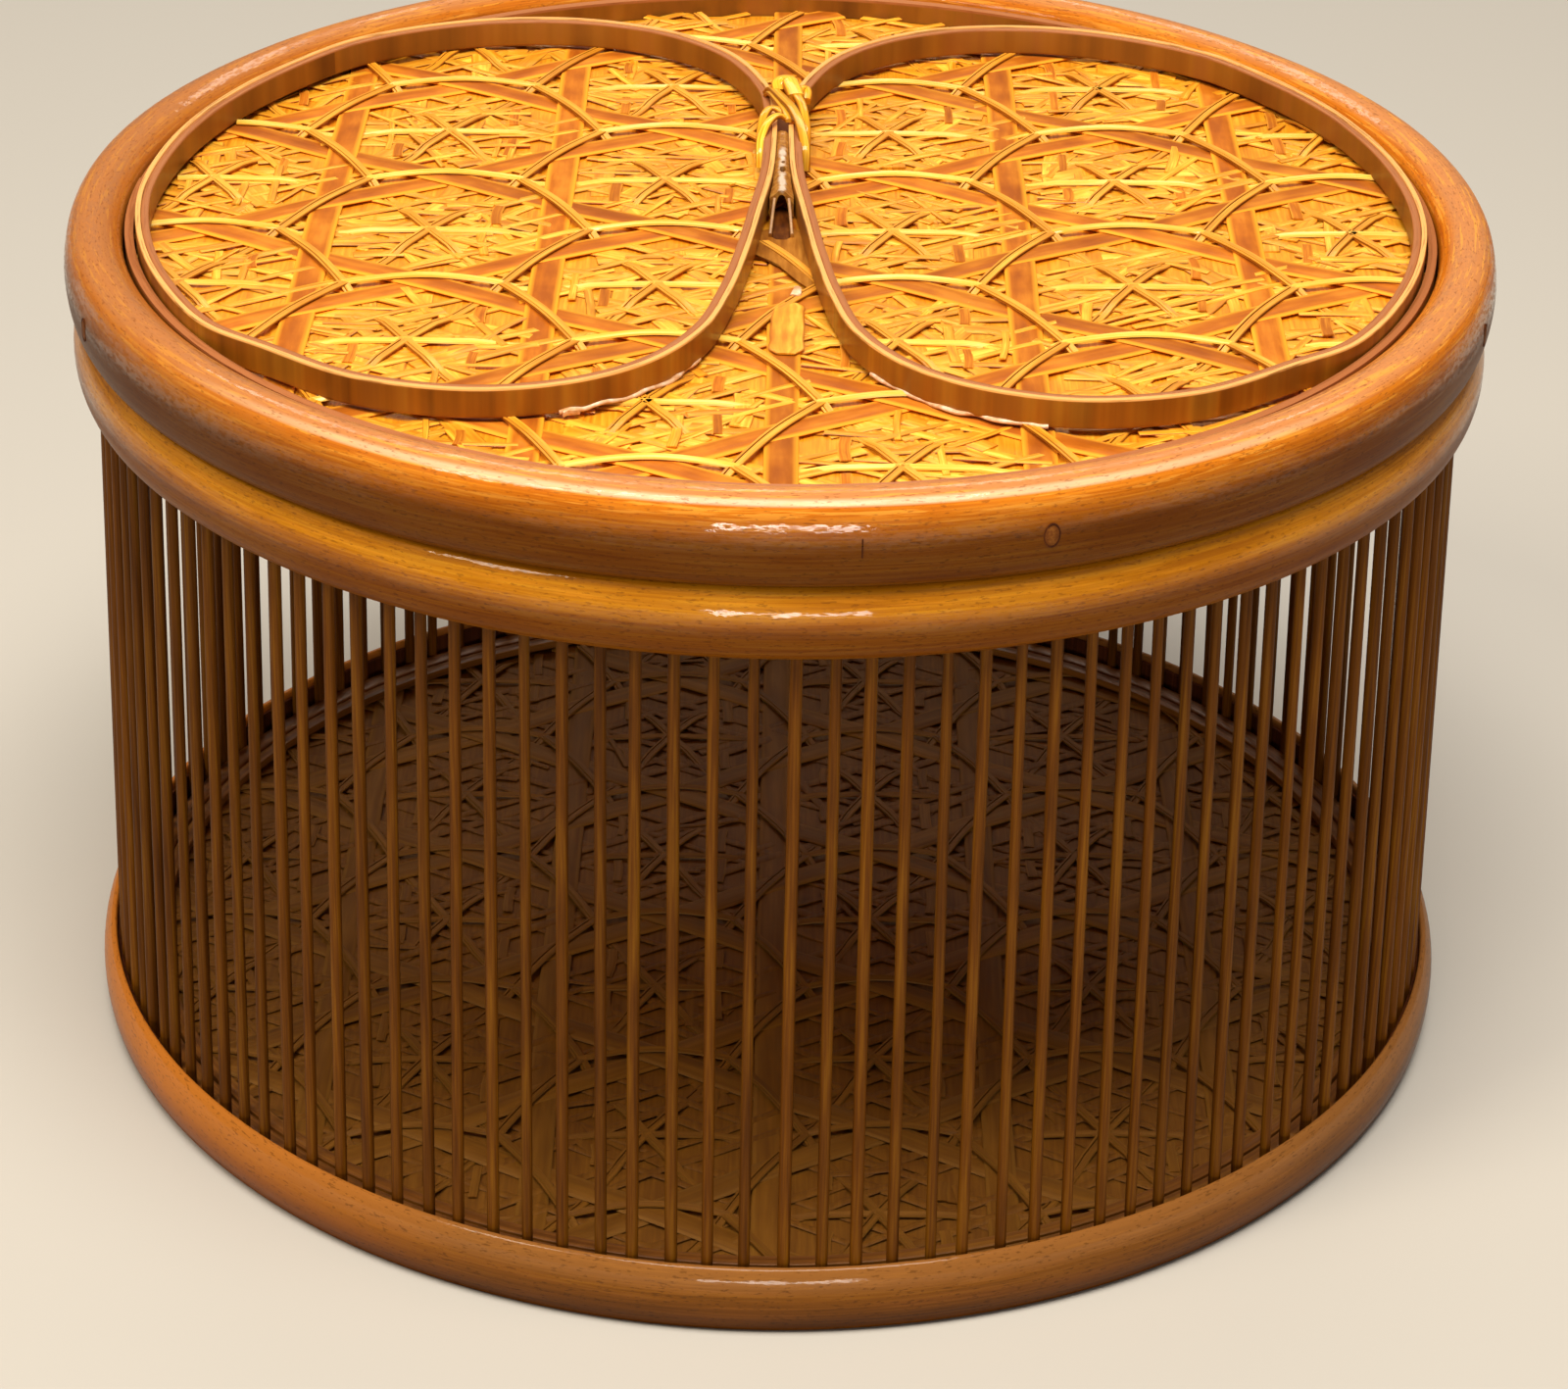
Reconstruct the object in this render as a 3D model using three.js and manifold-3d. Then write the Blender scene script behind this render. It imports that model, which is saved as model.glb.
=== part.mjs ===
// A round lidded bamboo basket. Thin upright rods stand between bent hoops and carry a lift-off lid.
// The lid has a six-eye woven panel, and two bamboo ribbons stand on edge on it, tied at the middle.
// Millimetres, +Z up. The origin is the centre of the face that the basket stands on.

import * as THREE from "three";
import { mergeVertices } from "three/addons/utils/BufferGeometryUtils.js";
import Module from "manifold-3d";

const wasm = await Module();
wasm.setup();

// Clearances
const GLUE_GAP = 0.3; // between pieces that touch
const LID_SLACK = 1.0; // between the lid's locating hoop and the rim, all round

// Rods of the wall
const WALL_RADIUS = 112.75; // from the basket's axis to the rods' axes at their feet
const WALL_LEAN = 3.0; // how much nearer the axis the rods' heads are
const ROD_COUNT = 124;
const ROD_DIAMETER = 2.0;
const ROD_SINK = 0.35; // how deep a rod sits in the groove of the hoop that carries it
const ROD_FOOT_HEIGHT = 0.6; // how far the rods stop above the base's underside
const ROD_SIDES = 6;

// Hoops outside and inside the feet of the rods
const BASE_WIDTH = 2.25;
const BASE_HEIGHT = 11.4;
const INNER_BASE_WIDTH = 3.7;
const INNER_BASE_HEIGHT = 7.6;

// Hoops outside and inside the heads of the rods
const RIM_BOTTOM = 115.2;
const RIM_WIDTH = 3.0;
const RIM_HEIGHT = 11.4;
const RIM_INNER_WIDTH = 3.7;
const ROD_HEAD_COVER = 1.2; // how far the rods stop below the rim's top

// Floor
const FLOOR_SUPPORT_WIDTH = 4.0;
const FLOOR_SUPPORT_HEIGHT = 2.6;
const FLOOR_EDGE_WIDTH = 2.4;

// Lid hoops
const LID_OVERHANG = 0.7; // how far the lid stands out over the rim
const LID_HEIGHT = 14.1;
const LID_OUTER_WIDTH = 9.4;
const LID_INNER_WIDTH = 1.5;
const LID_INNER_HEIGHT = 12.1;
const LOCATING_WIDTH = 2.4;
const LOCATING_DROP = 7.0; // how far the locating hoop reaches below the lid's hoop

// Woven panels
const BACKING_THICKNESS = 1.0;
const WEAVE_GROUND = 1.0; // thickness of the fine weave
const SLAT_RELIEF = 0.6; // how far the broad slats stand out of it
const SLAT_WIDTH = 5.1;
const COLUMN_PITCH = 37.3; // between the slats that run front to back
const ROW_PITCH = 44.3; // between the crossings along one column
const COLUMN_DROP = 20.9; // how far the crossings step forward from one column to the next
const CROSSING_X = 19.2; // one crossing of the two slanting families of slats
const CROSSING_Y = 20.3;
const LID_WEAVE_RISE = 9.1; // from the lid's underside to the top of its weave

// Ribbons on the lid
const RIBBON_THICKNESS = 1.7;
const RIBBON_HEIGHT = 4.5;
const PINCH_HALF_GAP = 2.15; // from the middle of the lid to each ribbon's middle line at the lashing

// Filler between the ribbons
const WEDGE_BACK = 21.5;
const WEDGE_FRONT = 1.8;
const WEDGE_TAPER = 0.5; // how much wider it is at the front than at the back, on each side
const WEDGE_HOLE_DIAMETER = 0.9;

// Lashing
const STRAND_DIAMETER = 1.4;
const STRAND_SAG = 0.2; // how much lower a strand is over a ribbon than at the middle
const STRAND_FRONT_Y = 23;
const STRAND_BACK_Y = 37;
const KNOT_OFFSET = 5.5; // behind the strands' back feet
const KNOT_RADIUS = 1.9;

// Pins through the lid's hoop
const PIN_DIAMETER = 2.4;
const PIN_RISE = 6.7; // from the lid's underside to the pins' axes
const PIN_DEPTH = 7.5;
const PIN_ANGLES = { front: -70.4, left: -158, right: -18 };

// Split cane: its bulge is fuller than a circle and ends on a flat shoulder above and below
const BULGE_FULLNESS = 0.6;
const SHOULDER_SHARE = 0.3;

// Roundness. Two rods stand before each facet of the hoops
const HOOP_SEGMENTS = Math.round(ROD_COUNT / 2);
const BULGE_STEPS = 4;
const RIBBON_STEPS = 54;

// Sizes that follow from the ones above
const ROD_RADIUS = ROD_DIAMETER / 2;
const RIM_TOP = RIM_BOTTOM + RIM_HEIGHT;
const ROD_HEAD_HEIGHT = RIM_TOP - ROD_HEAD_COVER;
const BASE_FACE_RADIUS = WALL_RADIUS + ROD_RADIUS + GLUE_GAP;
const BASE_RADIUS = BASE_FACE_RADIUS + BASE_WIDTH;
const INNER_BASE_OUTSIDE = WALL_RADIUS - ROD_RADIUS + ROD_SINK;
const INNER_BASE_INSIDE = INNER_BASE_OUTSIDE - INNER_BASE_WIDTH;
const RIM_FACE_RADIUS = rodRadiusAt(RIM_BOTTOM) + ROD_RADIUS + GLUE_GAP;
const RIM_RADIUS = RIM_FACE_RADIUS + RIM_WIDTH;
const RIM_INNER_OUTSIDE = rodRadiusAt(ROD_HEAD_HEIGHT) - ROD_RADIUS - GLUE_GAP;
const RIM_INNER_INSIDE = RIM_INNER_OUTSIDE - RIM_INNER_WIDTH;

const FLOOR_RADIUS = INNER_BASE_INSIDE - GLUE_GAP;
const FLOOR_BACKING_BOTTOM = FLOOR_SUPPORT_HEIGHT + GLUE_GAP;
const FLOOR_WEAVE_BOTTOM = FLOOR_BACKING_BOTTOM + BACKING_THICKNESS + GLUE_GAP;
const FLOOR_WEAVE_TOP = FLOOR_WEAVE_BOTTOM + WEAVE_GROUND + SLAT_RELIEF;
const FLOOR_EDGE_BOTTOM = FLOOR_WEAVE_TOP + GLUE_GAP;
const FLOOR_EDGE_HEIGHT = INNER_BASE_HEIGHT - FLOOR_EDGE_BOTTOM;

const LID_BOTTOM = RIM_TOP + GLUE_GAP;
const LID_RADIUS = RIM_RADIUS + LID_OVERHANG;
const LID_FACE_RADIUS = LID_RADIUS - LID_OUTER_WIDTH;
const LID_INNER_OUTSIDE = LID_FACE_RADIUS - GLUE_GAP;
const LID_INNER_INSIDE = LID_INNER_OUTSIDE - LID_INNER_WIDTH;
const LID_PANEL_RADIUS = LID_INNER_INSIDE - GLUE_GAP;
const LID_WEAVE_TOP = LID_BOTTOM + LID_WEAVE_RISE;
const LID_WEAVE_BOTTOM = LID_WEAVE_TOP - SLAT_RELIEF - WEAVE_GROUND;
const LID_BACKING_BOTTOM = LID_WEAVE_BOTTOM - GLUE_GAP - BACKING_THICKNESS;
const LOCATING_OUTSIDE = Math.min(LID_PANEL_RADIUS, RIM_INNER_INSIDE - LID_SLACK);
const LOCATING_TOP = LID_BACKING_BOTTOM - GLUE_GAP;
const LOCATING_BOTTOM = LID_BOTTOM - LOCATING_DROP;
const LOCATING_HEIGHT = LOCATING_TOP - LOCATING_BOTTOM;

const RIBBON_BOTTOM = LID_WEAVE_TOP + GLUE_GAP;
const RIBBON_TOP = RIBBON_BOTTOM + RIBBON_HEIGHT;
const LID_FACET_RADIUS = LID_INNER_INSIDE * Math.cos(Math.PI / HOOP_SEGMENTS);
const RIBBON_HUG_RADIUS = LID_FACET_RADIUS - GLUE_GAP - RIBBON_THICKNESS / 2;
const STRAND_SIDE_X = PINCH_HALF_GAP + RIBBON_THICKNESS / 2 + GLUE_GAP + STRAND_DIAMETER / 2;

const COLOURS = {
  hoop: 0xa85f22,
  rod: 0x9a5a22,
  floor: 0x5a3416,
  weave: 0xd8902e,
  ribbon: 0xb9701f,
  cane: 0xe0a63a,
  filler: 0xb98d6a,
};

const basket = new THREE.Group();
const lid = new THREE.Group();

/** Distance from the basket's axis to a rod's axis at a height, for the rods lean in towards the rim. */
function rodRadiusAt(height) {
  const share = (height - ROD_FOOT_HEIGHT) / (ROD_HEAD_HEIGHT - ROD_FOOT_HEIGHT);
  return WALL_RADIUS - WALL_LEAN * share;
}

/** Adds one named piece to a group. */
function addPiece(group, name, geometry, colour, roughness) {
  const material = new THREE.MeshStandardMaterial({ color: colour, roughness, metalness: 0 });
  const mesh = new THREE.Mesh(geometry, material);
  mesh.name = name;
  group.add(mesh);
}

/** A closed geometry as a solid that can be joined and cut. */
function toSolid(geometry) {
  const bare = geometry.clone();
  bare.deleteAttribute("normal");
  bare.deleteAttribute("uv");
  const merged = mergeVertices(bare, 1e-4);
  return new wasm.Manifold(
    new wasm.Mesh({
      numProp: 3,
      vertProperties: new Float32Array(merged.attributes.position.array),
      triVerts: new Uint32Array(merged.index.array),
    }),
  );
}

/** A solid as a geometry. */
function toGeometry(solid) {
  const mesh = solid.getMesh();
  const geometry = new THREE.BufferGeometry();
  geometry.setAttribute("position", new THREE.BufferAttribute(mesh.vertProperties, mesh.numProp));
  geometry.setIndex(new THREE.BufferAttribute(mesh.triVerts, 1));
  geometry.computeVertexNormals();
  return geometry;
}

/** Turns a closed section, given as [radius, height] points, about the basket's axis. */
function turned(section) {
  const points = [...section, section[0]].map(([radius, height]) => new THREE.Vector2(radius, height));
  const geometry = new THREE.LatheGeometry(points, HOOP_SEGMENTS);
  geometry.rotateX(Math.PI / 2);
  return geometry;
}

/** Section of a split cane: a flat inner face and a round outside. */
function halfRoundSection(inside, outside, bottom, height) {
  const bulge = outside - inside;
  const middle = bottom + height / 2;
  const section = [];
  for (let step = 0; step <= BULGE_STEPS; step += 1) {
    const angle = (step / BULGE_STEPS - 0.5) * Math.PI;
    const reach = Math.max(Math.cos(angle), 0) ** BULGE_FULLNESS;
    const radius = inside + bulge * (SHOULDER_SHARE + (1 - SHOULDER_SHARE) * reach);
    section.push([radius, middle + (height / 2) * Math.sin(angle)]);
  }
  return [[inside, bottom], ...section, [inside, bottom + height]];
}

/** Section of a flat strip. */
function stripSection(inside, outside, bottom, height) {
  return [
    [inside, bottom],
    [outside, bottom],
    [outside, bottom + height],
    [inside, bottom + height],
  ];
}

/** A flat strip bent into a hoop. */
function stripHoop(inside, outside, bottom, height) {
  return turned(stripSection(inside, outside, bottom, height));
}

/** A round plate that stands on a height. */
function plate(radius, bottom, thickness) {
  const geometry = new THREE.CylinderGeometry(radius, radius, thickness, HOOP_SEGMENTS);
  geometry.rotateX(Math.PI / 2);
  geometry.translate(0, 0, bottom + thickness / 2);
  return geometry;
}

/** One round rod of the wall. It leans inwards, and both its ends are cut level. */
function rod(angle) {
  const height = ROD_HEAD_HEIGHT - ROD_FOOT_HEIGHT;
  const geometry = new THREE.CylinderGeometry(ROD_RADIUS, ROD_RADIUS, height, ROD_SIDES);
  geometry.rotateX(Math.PI / 2);
  geometry.translate(WALL_RADIUS, 0, height / 2);
  geometry.applyMatrix4(new THREE.Matrix4().makeShear(0, 0, 0, 0, -WALL_LEAN / height, 0));
  geometry.translate(0, 0, ROD_FOOT_HEIGHT);
  geometry.rotateZ(angle);
  return geometry;
}

/** The rods with the inner base hoop that their feet are glued into. */
function rodWall() {
  const carrier = stripHoop(INNER_BASE_INSIDE, INNER_BASE_OUTSIDE, 0, INNER_BASE_HEIGHT);
  const rods = [];
  for (let index = 0; index < ROD_COUNT; index += 1) {
    rods.push(toSolid(rod(((index + 0.5) / ROD_COUNT) * Math.PI * 2)));
  }
  return toGeometry(wasm.Manifold.union([toSolid(carrier), ...rods]));
}

/** One long straight slat of a woven panel through a point, in a direction. */
function slat(x, y, directionX, directionY, bottom, top) {
  const length = 4 * WALL_RADIUS;
  const geometry = new THREE.BoxGeometry(length, SLAT_WIDTH, top - bottom);
  geometry.rotateZ(Math.atan2(directionY, directionX));
  geometry.translate(x, y, (bottom + top) / 2);
  return geometry;
}

/** The six-eye pattern: one family of slats runs front to back, two slant across it. */
function sixEyeSlats(radius, bottom, top) {
  const slats = [];
  const columns = Math.ceil(radius / COLUMN_PITCH) + 1;
  const rows = Math.ceil((2 * radius) / ROW_PITCH) + 1;
  for (let column = -columns; column <= columns; column += 1) {
    const x = CROSSING_X + (column + 0.5) * COLUMN_PITCH;
    if (Math.abs(x) < radius - SLAT_WIDTH) {
      slats.push(slat(x, 0, 0, 1, bottom, top));
    }
  }
  for (const drop of [-COLUMN_DROP, ROW_PITCH - COLUMN_DROP]) {
    const tilt = Math.hypot(COLUMN_PITCH, drop);
    for (let row = -rows; row <= rows; row += 1) {
      const y = CROSSING_Y + row * ROW_PITCH;
      const distance = Math.abs(CROSSING_X * drop - y * COLUMN_PITCH) / tilt;
      if (distance < radius - SLAT_WIDTH) {
        slats.push(slat(CROSSING_X, y, COLUMN_PITCH, drop, bottom, top));
      }
    }
  }
  return slats;
}

/** A woven panel: its fine ground, with the broad slats in relief. */
function wovenPanel(radius, bottom) {
  const groundTop = bottom + WEAVE_GROUND;
  const top = groundTop + SLAT_RELIEF;
  const slats = sixEyeSlats(radius, groundTop - WEAVE_GROUND / 2, top).map(toSolid);
  const trimmed = wasm.Manifold.union(slats).intersect(toSolid(plate(radius, bottom, top - bottom)));
  return toGeometry(toSolid(plate(radius, bottom, WEAVE_GROUND)).add(trimmed));
}

/** Middle line of the right-hand ribbon in plan: along the lid's hoop, then round to the lashing. */
function ribbonLine() {
  // Each place near the hoop is an angle in degrees and how far the ribbon stands in from the hoop
  const alongHoop = [39, 27, 15, 3, -8, -20, -32].map((angle) => [angle, 0]);
  const frontBow = [[-40, 3.2], [-50, 6], [-59.5, 12.3], [-67.4, 21.6], [-73.6, 32.9], [-77.4, 46.4], [-78, 61.2]];
  const backBow = [[81.7, 36.7], [75.6, 24.4], [68.6, 15.3], [61.4, 8.7], [54, 4.2], [46, 1]];
  const onLid = ([angle, inset]) => {
    const turn = THREE.MathUtils.degToRad(angle);
    const radius = RIBBON_HUG_RADIUS - inset;
    return new THREE.Vector3(radius * Math.cos(turn), radius * Math.sin(turn), 0);
  };
  // Along the middle, each place is how far the ribbon stands out from the pinch, and its y
  const inwardRun = [[4, -24], [2.05, -6], [0.5, 9], [0, WEDGE_BACK], [0, STRAND_BACK_Y], [1.45, 50]];
  const byMiddle = ([spread, y]) => new THREE.Vector3(PINCH_HALF_GAP + spread, y, 0);
  const places = [...alongHoop, ...frontBow].map(onLid);
  places.push(...inwardRun.map(byMiddle), ...backBow.map(onLid));
  return new THREE.CatmullRomCurve3(places, true, "centripetal");
}

/** Points beside a closed line, moved sideways by an offset. */
function besideLine(line, offset, side) {
  const points = [];
  for (let index = 0; index < RIBBON_STEPS; index += 1) {
    const place = line.getPointAt(index / RIBBON_STEPS);
    const along = line.getTangentAt(index / RIBBON_STEPS);
    points.push(new THREE.Vector2(side * (place.x - along.y * offset), place.y + along.x * offset));
  }
  return points;
}

/** One ribbon standing on edge. side is 1 for the right-hand loop and -1 for the left-hand one. */
function ribbonLoop(side) {
  const line = ribbonLine();
  const outline = new THREE.Shape(besideLine(line, RIBBON_THICKNESS / 2, side));
  outline.holes.push(new THREE.Path(besideLine(line, -RIBBON_THICKNESS / 2, side).reverse()));
  const geometry = new THREE.ExtrudeGeometry(outline, { depth: RIBBON_HEIGHT, bevelEnabled: false });
  geometry.translate(0, 0, RIBBON_BOTTOM);
  return geometry;
}

/** The filler between the two ribbons, with the small hole bored in it. */
function loopWedge() {
  const backHalf = PINCH_HALF_GAP - RIBBON_THICKNESS / 2 - GLUE_GAP;
  const frontHalf = backHalf + WEDGE_TAPER;
  const outline = new THREE.Shape();
  outline.moveTo(-frontHalf, WEDGE_FRONT);
  outline.lineTo(frontHalf, WEDGE_FRONT);
  outline.lineTo(backHalf, WEDGE_BACK);
  outline.lineTo(-backHalf, WEDGE_BACK);
  outline.closePath();
  const hole = new THREE.Path();
  hole.absarc(0, (WEDGE_FRONT + WEDGE_BACK) / 2, WEDGE_HOLE_DIAMETER / 2, 0, Math.PI * 2);
  outline.holes.push(hole);
  const depth = RIBBON_HEIGHT - GLUE_GAP;
  const geometry = new THREE.ExtrudeGeometry(outline, { depth, bevelEnabled: false, curveSegments: 8 });
  geometry.translate(0, 0, RIBBON_BOTTOM);
  return geometry;
}

/** A cane strand that rises beside the ribbons, crosses over them and goes down on the other side. */
function lashingStrand(fromY, toY, clearance) {
  const crown = RIBBON_TOP + clearance + STRAND_DIAMETER / 2;
  const middleY = (fromY + toY) / 2;
  const halfRun = (toY - fromY) / 2;
  // Share of the way out in x, share of the way out in y, and height
  const half = [
    [1, 1, RIBBON_BOTTOM],
    [1, 1, (RIBBON_BOTTOM + RIBBON_TOP) / 2],
    [1, 0.92, RIBBON_TOP],
    [0.75, 0.7, crown - STRAND_SAG],
  ];
  const placeOn = (side) => ([across, along, height]) =>
    new THREE.Vector3(side * across * STRAND_SIDE_X, middleY + side * along * halfRun, height);
  const rise = half.map(placeOn(-1));
  const fall = half.map(placeOn(1)).reverse();
  const path = new THREE.CatmullRomCurve3([...rise, new THREE.Vector3(0, middleY, crown), ...fall]);
  const section = new THREE.Shape();
  section.absarc(0, 0, STRAND_DIAMETER / 2, 0, Math.PI * 2);
  return new THREE.ExtrudeGeometry(section, { steps: 18, curveSegments: 3, extrudePath: path });
}

/** The folded cane end that lies on the ribbons behind the crossing. */
function lashingKnot() {
  const geometry = new THREE.SphereGeometry(KNOT_RADIUS, 10, 7);
  const squash = 0.75;
  geometry.scale(1, 1, squash);
  geometry.translate(0, STRAND_BACK_Y + KNOT_OFFSET, RIBBON_TOP + GLUE_GAP + KNOT_RADIUS * squash);
  return geometry;
}

/** A pin that lies along a radius, from inside the hoop's outer face inwards. */
function radialPin(angleDegrees, diameter, inner, outer) {
  const sides = 10;
  const geometry = new THREE.CylinderGeometry(diameter / 2, diameter / 2, outer - inner, sides);
  geometry.rotateZ(-Math.PI / 2);
  geometry.translate((inner + outer) / 2, 0, LID_BOTTOM + PIN_RISE);
  geometry.rotateZ(THREE.MathUtils.degToRad(angleDegrees));
  return geometry;
}

/** The lid's thick hoop, bored for its pins. */
function lidHoop() {
  const section = halfRoundSection(LID_FACE_RADIUS, LID_RADIUS, LID_BOTTOM, LID_HEIGHT);
  const boreDiameter = PIN_DIAMETER + 2 * GLUE_GAP;
  const boreInner = LID_RADIUS - PIN_DEPTH - GLUE_GAP;
  const bores = Object.values(PIN_ANGLES).map((angle) =>
    toSolid(radialPin(angle, boreDiameter, boreInner, LID_RADIUS + LID_OUTER_WIDTH)),
  );
  return toGeometry(toSolid(turned(section)).subtract(wasm.Manifold.union(bores)));
}

addPiece(
  basket,
  "base_hoop_outer",
  turned(halfRoundSection(BASE_FACE_RADIUS, BASE_RADIUS, 0, BASE_HEIGHT)),
  COLOURS.hoop,
  0.4,
);
addPiece(basket, "rod_wall", rodWall(), COLOURS.rod, 0.45);
addPiece(
  basket,
  "rim_hoop_outer",
  turned(halfRoundSection(RIM_FACE_RADIUS, RIM_RADIUS, RIM_BOTTOM, RIM_HEIGHT)),
  COLOURS.hoop,
  0.4,
);
addPiece(
  basket,
  "rim_hoop_inner",
  stripHoop(RIM_INNER_INSIDE, RIM_INNER_OUTSIDE, RIM_BOTTOM, RIM_HEIGHT),
  COLOURS.hoop,
  0.5,
);
addPiece(
  basket,
  "floor_support_hoop",
  stripHoop(FLOOR_RADIUS - FLOOR_SUPPORT_WIDTH, FLOOR_RADIUS, 0, FLOOR_SUPPORT_HEIGHT),
  COLOURS.hoop,
  0.5,
);
addPiece(
  basket,
  "floor_backing",
  plate(FLOOR_RADIUS, FLOOR_BACKING_BOTTOM, BACKING_THICKNESS),
  COLOURS.floor,
  0.4,
);
addPiece(basket, "floor_weave", wovenPanel(FLOOR_RADIUS, FLOOR_WEAVE_BOTTOM), COLOURS.floor, 0.35);
addPiece(
  basket,
  "floor_edge_hoop",
  stripHoop(FLOOR_RADIUS - FLOOR_EDGE_WIDTH, FLOOR_RADIUS, FLOOR_EDGE_BOTTOM, FLOOR_EDGE_HEIGHT),
  COLOURS.hoop,
  0.5,
);

addPiece(lid, "lid_hoop_outer", lidHoop(), COLOURS.hoop, 0.35);
addPiece(
  lid,
  "lid_hoop_inner",
  stripHoop(LID_INNER_INSIDE, LID_INNER_OUTSIDE, LID_BOTTOM, LID_INNER_HEIGHT),
  COLOURS.hoop,
  0.45,
);
addPiece(
  lid,
  "lid_locating_hoop",
  stripHoop(LOCATING_OUTSIDE - LOCATING_WIDTH, LOCATING_OUTSIDE, LOCATING_BOTTOM, LOCATING_HEIGHT),
  COLOURS.hoop,
  0.5,
);
addPiece(
  lid,
  "lid_backing",
  plate(LID_PANEL_RADIUS, LID_BACKING_BOTTOM, BACKING_THICKNESS),
  COLOURS.weave,
  0.5,
);
addPiece(lid, "lid_weave", wovenPanel(LID_PANEL_RADIUS, LID_WEAVE_BOTTOM), COLOURS.weave, 0.5);
addPiece(lid, "ribbon_loop_left", ribbonLoop(-1), COLOURS.ribbon, 0.4);
addPiece(lid, "ribbon_loop_right", ribbonLoop(1), COLOURS.ribbon, 0.4);
addPiece(lid, "loop_wedge", loopWedge(), COLOURS.filler, 0.6);
addPiece(
  lid,
  "lashing_strand_under",
  lashingStrand(STRAND_FRONT_Y, STRAND_BACK_Y, GLUE_GAP),
  COLOURS.cane,
  0.4,
);
addPiece(
  lid,
  "lashing_strand_over",
  lashingStrand(STRAND_BACK_Y, STRAND_FRONT_Y, 2 * GLUE_GAP + STRAND_DIAMETER),
  COLOURS.cane,
  0.4,
);
addPiece(lid, "lashing_knot", lashingKnot(), COLOURS.cane, 0.4);
for (const [place, angle] of Object.entries(PIN_ANGLES)) {
  const pinOutside = LID_RADIUS - GLUE_GAP;
  addPiece(
    lid,
    `lid_pin_${place}`,
    radialPin(angle, PIN_DIAMETER, LID_RADIUS - PIN_DEPTH, pinOutside),
    COLOURS.cane,
    0.5,
  );
}

const group = new THREE.Group();
group.add(basket, lid);

export default group;
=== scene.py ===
"""Looks of a round lidded bamboo basket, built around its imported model.

The wall is a ring of thin round rods between bent hoops. The floor and the lid are six-eye woven
panels. Two bamboo ribbons stand on edge on the lid, tied together with cane behind its centre.
Lengths are metres, and the front of the basket is towards -Y.
"""

import logging
import math
import random
from collections.abc import Callable, Iterable
from dataclasses import dataclass, field
from enum import Enum

import bmesh
import bpy
from mathutils import Matrix, Vector, noise


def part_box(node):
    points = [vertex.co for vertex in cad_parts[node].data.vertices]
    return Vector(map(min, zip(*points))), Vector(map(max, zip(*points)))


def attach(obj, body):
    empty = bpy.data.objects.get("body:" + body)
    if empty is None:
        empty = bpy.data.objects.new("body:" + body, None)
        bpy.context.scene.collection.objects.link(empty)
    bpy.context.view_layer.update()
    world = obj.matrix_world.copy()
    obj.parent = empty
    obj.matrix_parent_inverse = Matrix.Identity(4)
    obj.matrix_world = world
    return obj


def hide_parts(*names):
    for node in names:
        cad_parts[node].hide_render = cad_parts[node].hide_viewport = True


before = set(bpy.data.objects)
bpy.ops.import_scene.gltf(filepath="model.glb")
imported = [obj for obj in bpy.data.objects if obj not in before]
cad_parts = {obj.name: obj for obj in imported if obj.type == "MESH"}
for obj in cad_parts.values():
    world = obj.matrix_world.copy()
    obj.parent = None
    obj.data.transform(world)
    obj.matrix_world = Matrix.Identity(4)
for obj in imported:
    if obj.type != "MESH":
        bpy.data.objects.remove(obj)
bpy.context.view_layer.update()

LOG = logging.getLogger("basket")
MM = 0.001
GAP = 0.3 * MM  # between pieces that touch
PHOTO_WIDTH = 1600  # pixels
ROD_DIAMETER = 2.0 * MM
FLOOR_COLOUR = "#C4C0B8"


# Geometry helpers


def unevenness(place: Vector, size: float, pitch: float, seed: float) -> float:
    """Gives a smooth hand-made unevenness at a place.

    Args:
        place: Where it is wanted.
        size: Largest departure, in metres.
        pitch: Distance over which it changes, in metres.
        seed: Chooses one of many alike patterns.

    Returns:
        The departure, in metres.
    """
    return size * noise.noise(place / pitch + Vector((seed, seed * 0.7, -seed)))


def smooth_curve(points: list[Vector], share: float, closed: bool = True) -> Vector:
    """Gives a point of a smooth curve through points.

    Args:
        points: The points that it passes through.
        share: How far along the curve, from 0 to 1.
        closed: Whether it runs back to its start.

    Returns:
        The point.
    """
    count = len(points)
    spans = count if closed else count - 1
    place = min(max(share, 0.0), 1.0) * spans
    index = min(int(place), spans - 1)
    part = place - index
    near = [
        points[(index + step) % count] if closed else points[min(max(index + step, 0), count - 1)]
        for step in (-1, 0, 1, 2)
    ]
    before, start, end, after = near
    return 0.5 * (
        2 * start
        + (end - before) * part
        + (2 * before - 5 * start + 4 * end - after) * part**2
        + (3 * start - before - 3 * end + after) * part**3
    )


@dataclass(frozen=True)
class Section:
    """Cross-section of a strip or hoop: an oval whose two sides are each made squarer or rounder.

    Squareness 1 is an ellipse, and nearer 0 is a rectangle. The outer side is towards +across.
    """

    width: float
    height: float
    points: int = 6
    outer: float = 0.3
    inner: float = 0.3

    def place(self, share: float) -> tuple[float, float]:
        """Gives a point of the outline.

        Args:
            share: How far round the outline, from 0 to 1.

        Returns:
            Its distance across and up from the section's middle.
        """
        angle = 2 * math.pi * share
        cosine, sine = math.cos(angle), math.sin(angle)
        power = self.outer if cosine > 0 else self.inner
        across = math.copysign(abs(cosine) ** power, cosine) if abs(cosine) > 1e-9 else 0.0
        up = math.copysign(abs(sine) ** power, sine) if abs(sine) > 1e-9 else 0.0
        return across * self.width / 2, up * self.height / 2


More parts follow.
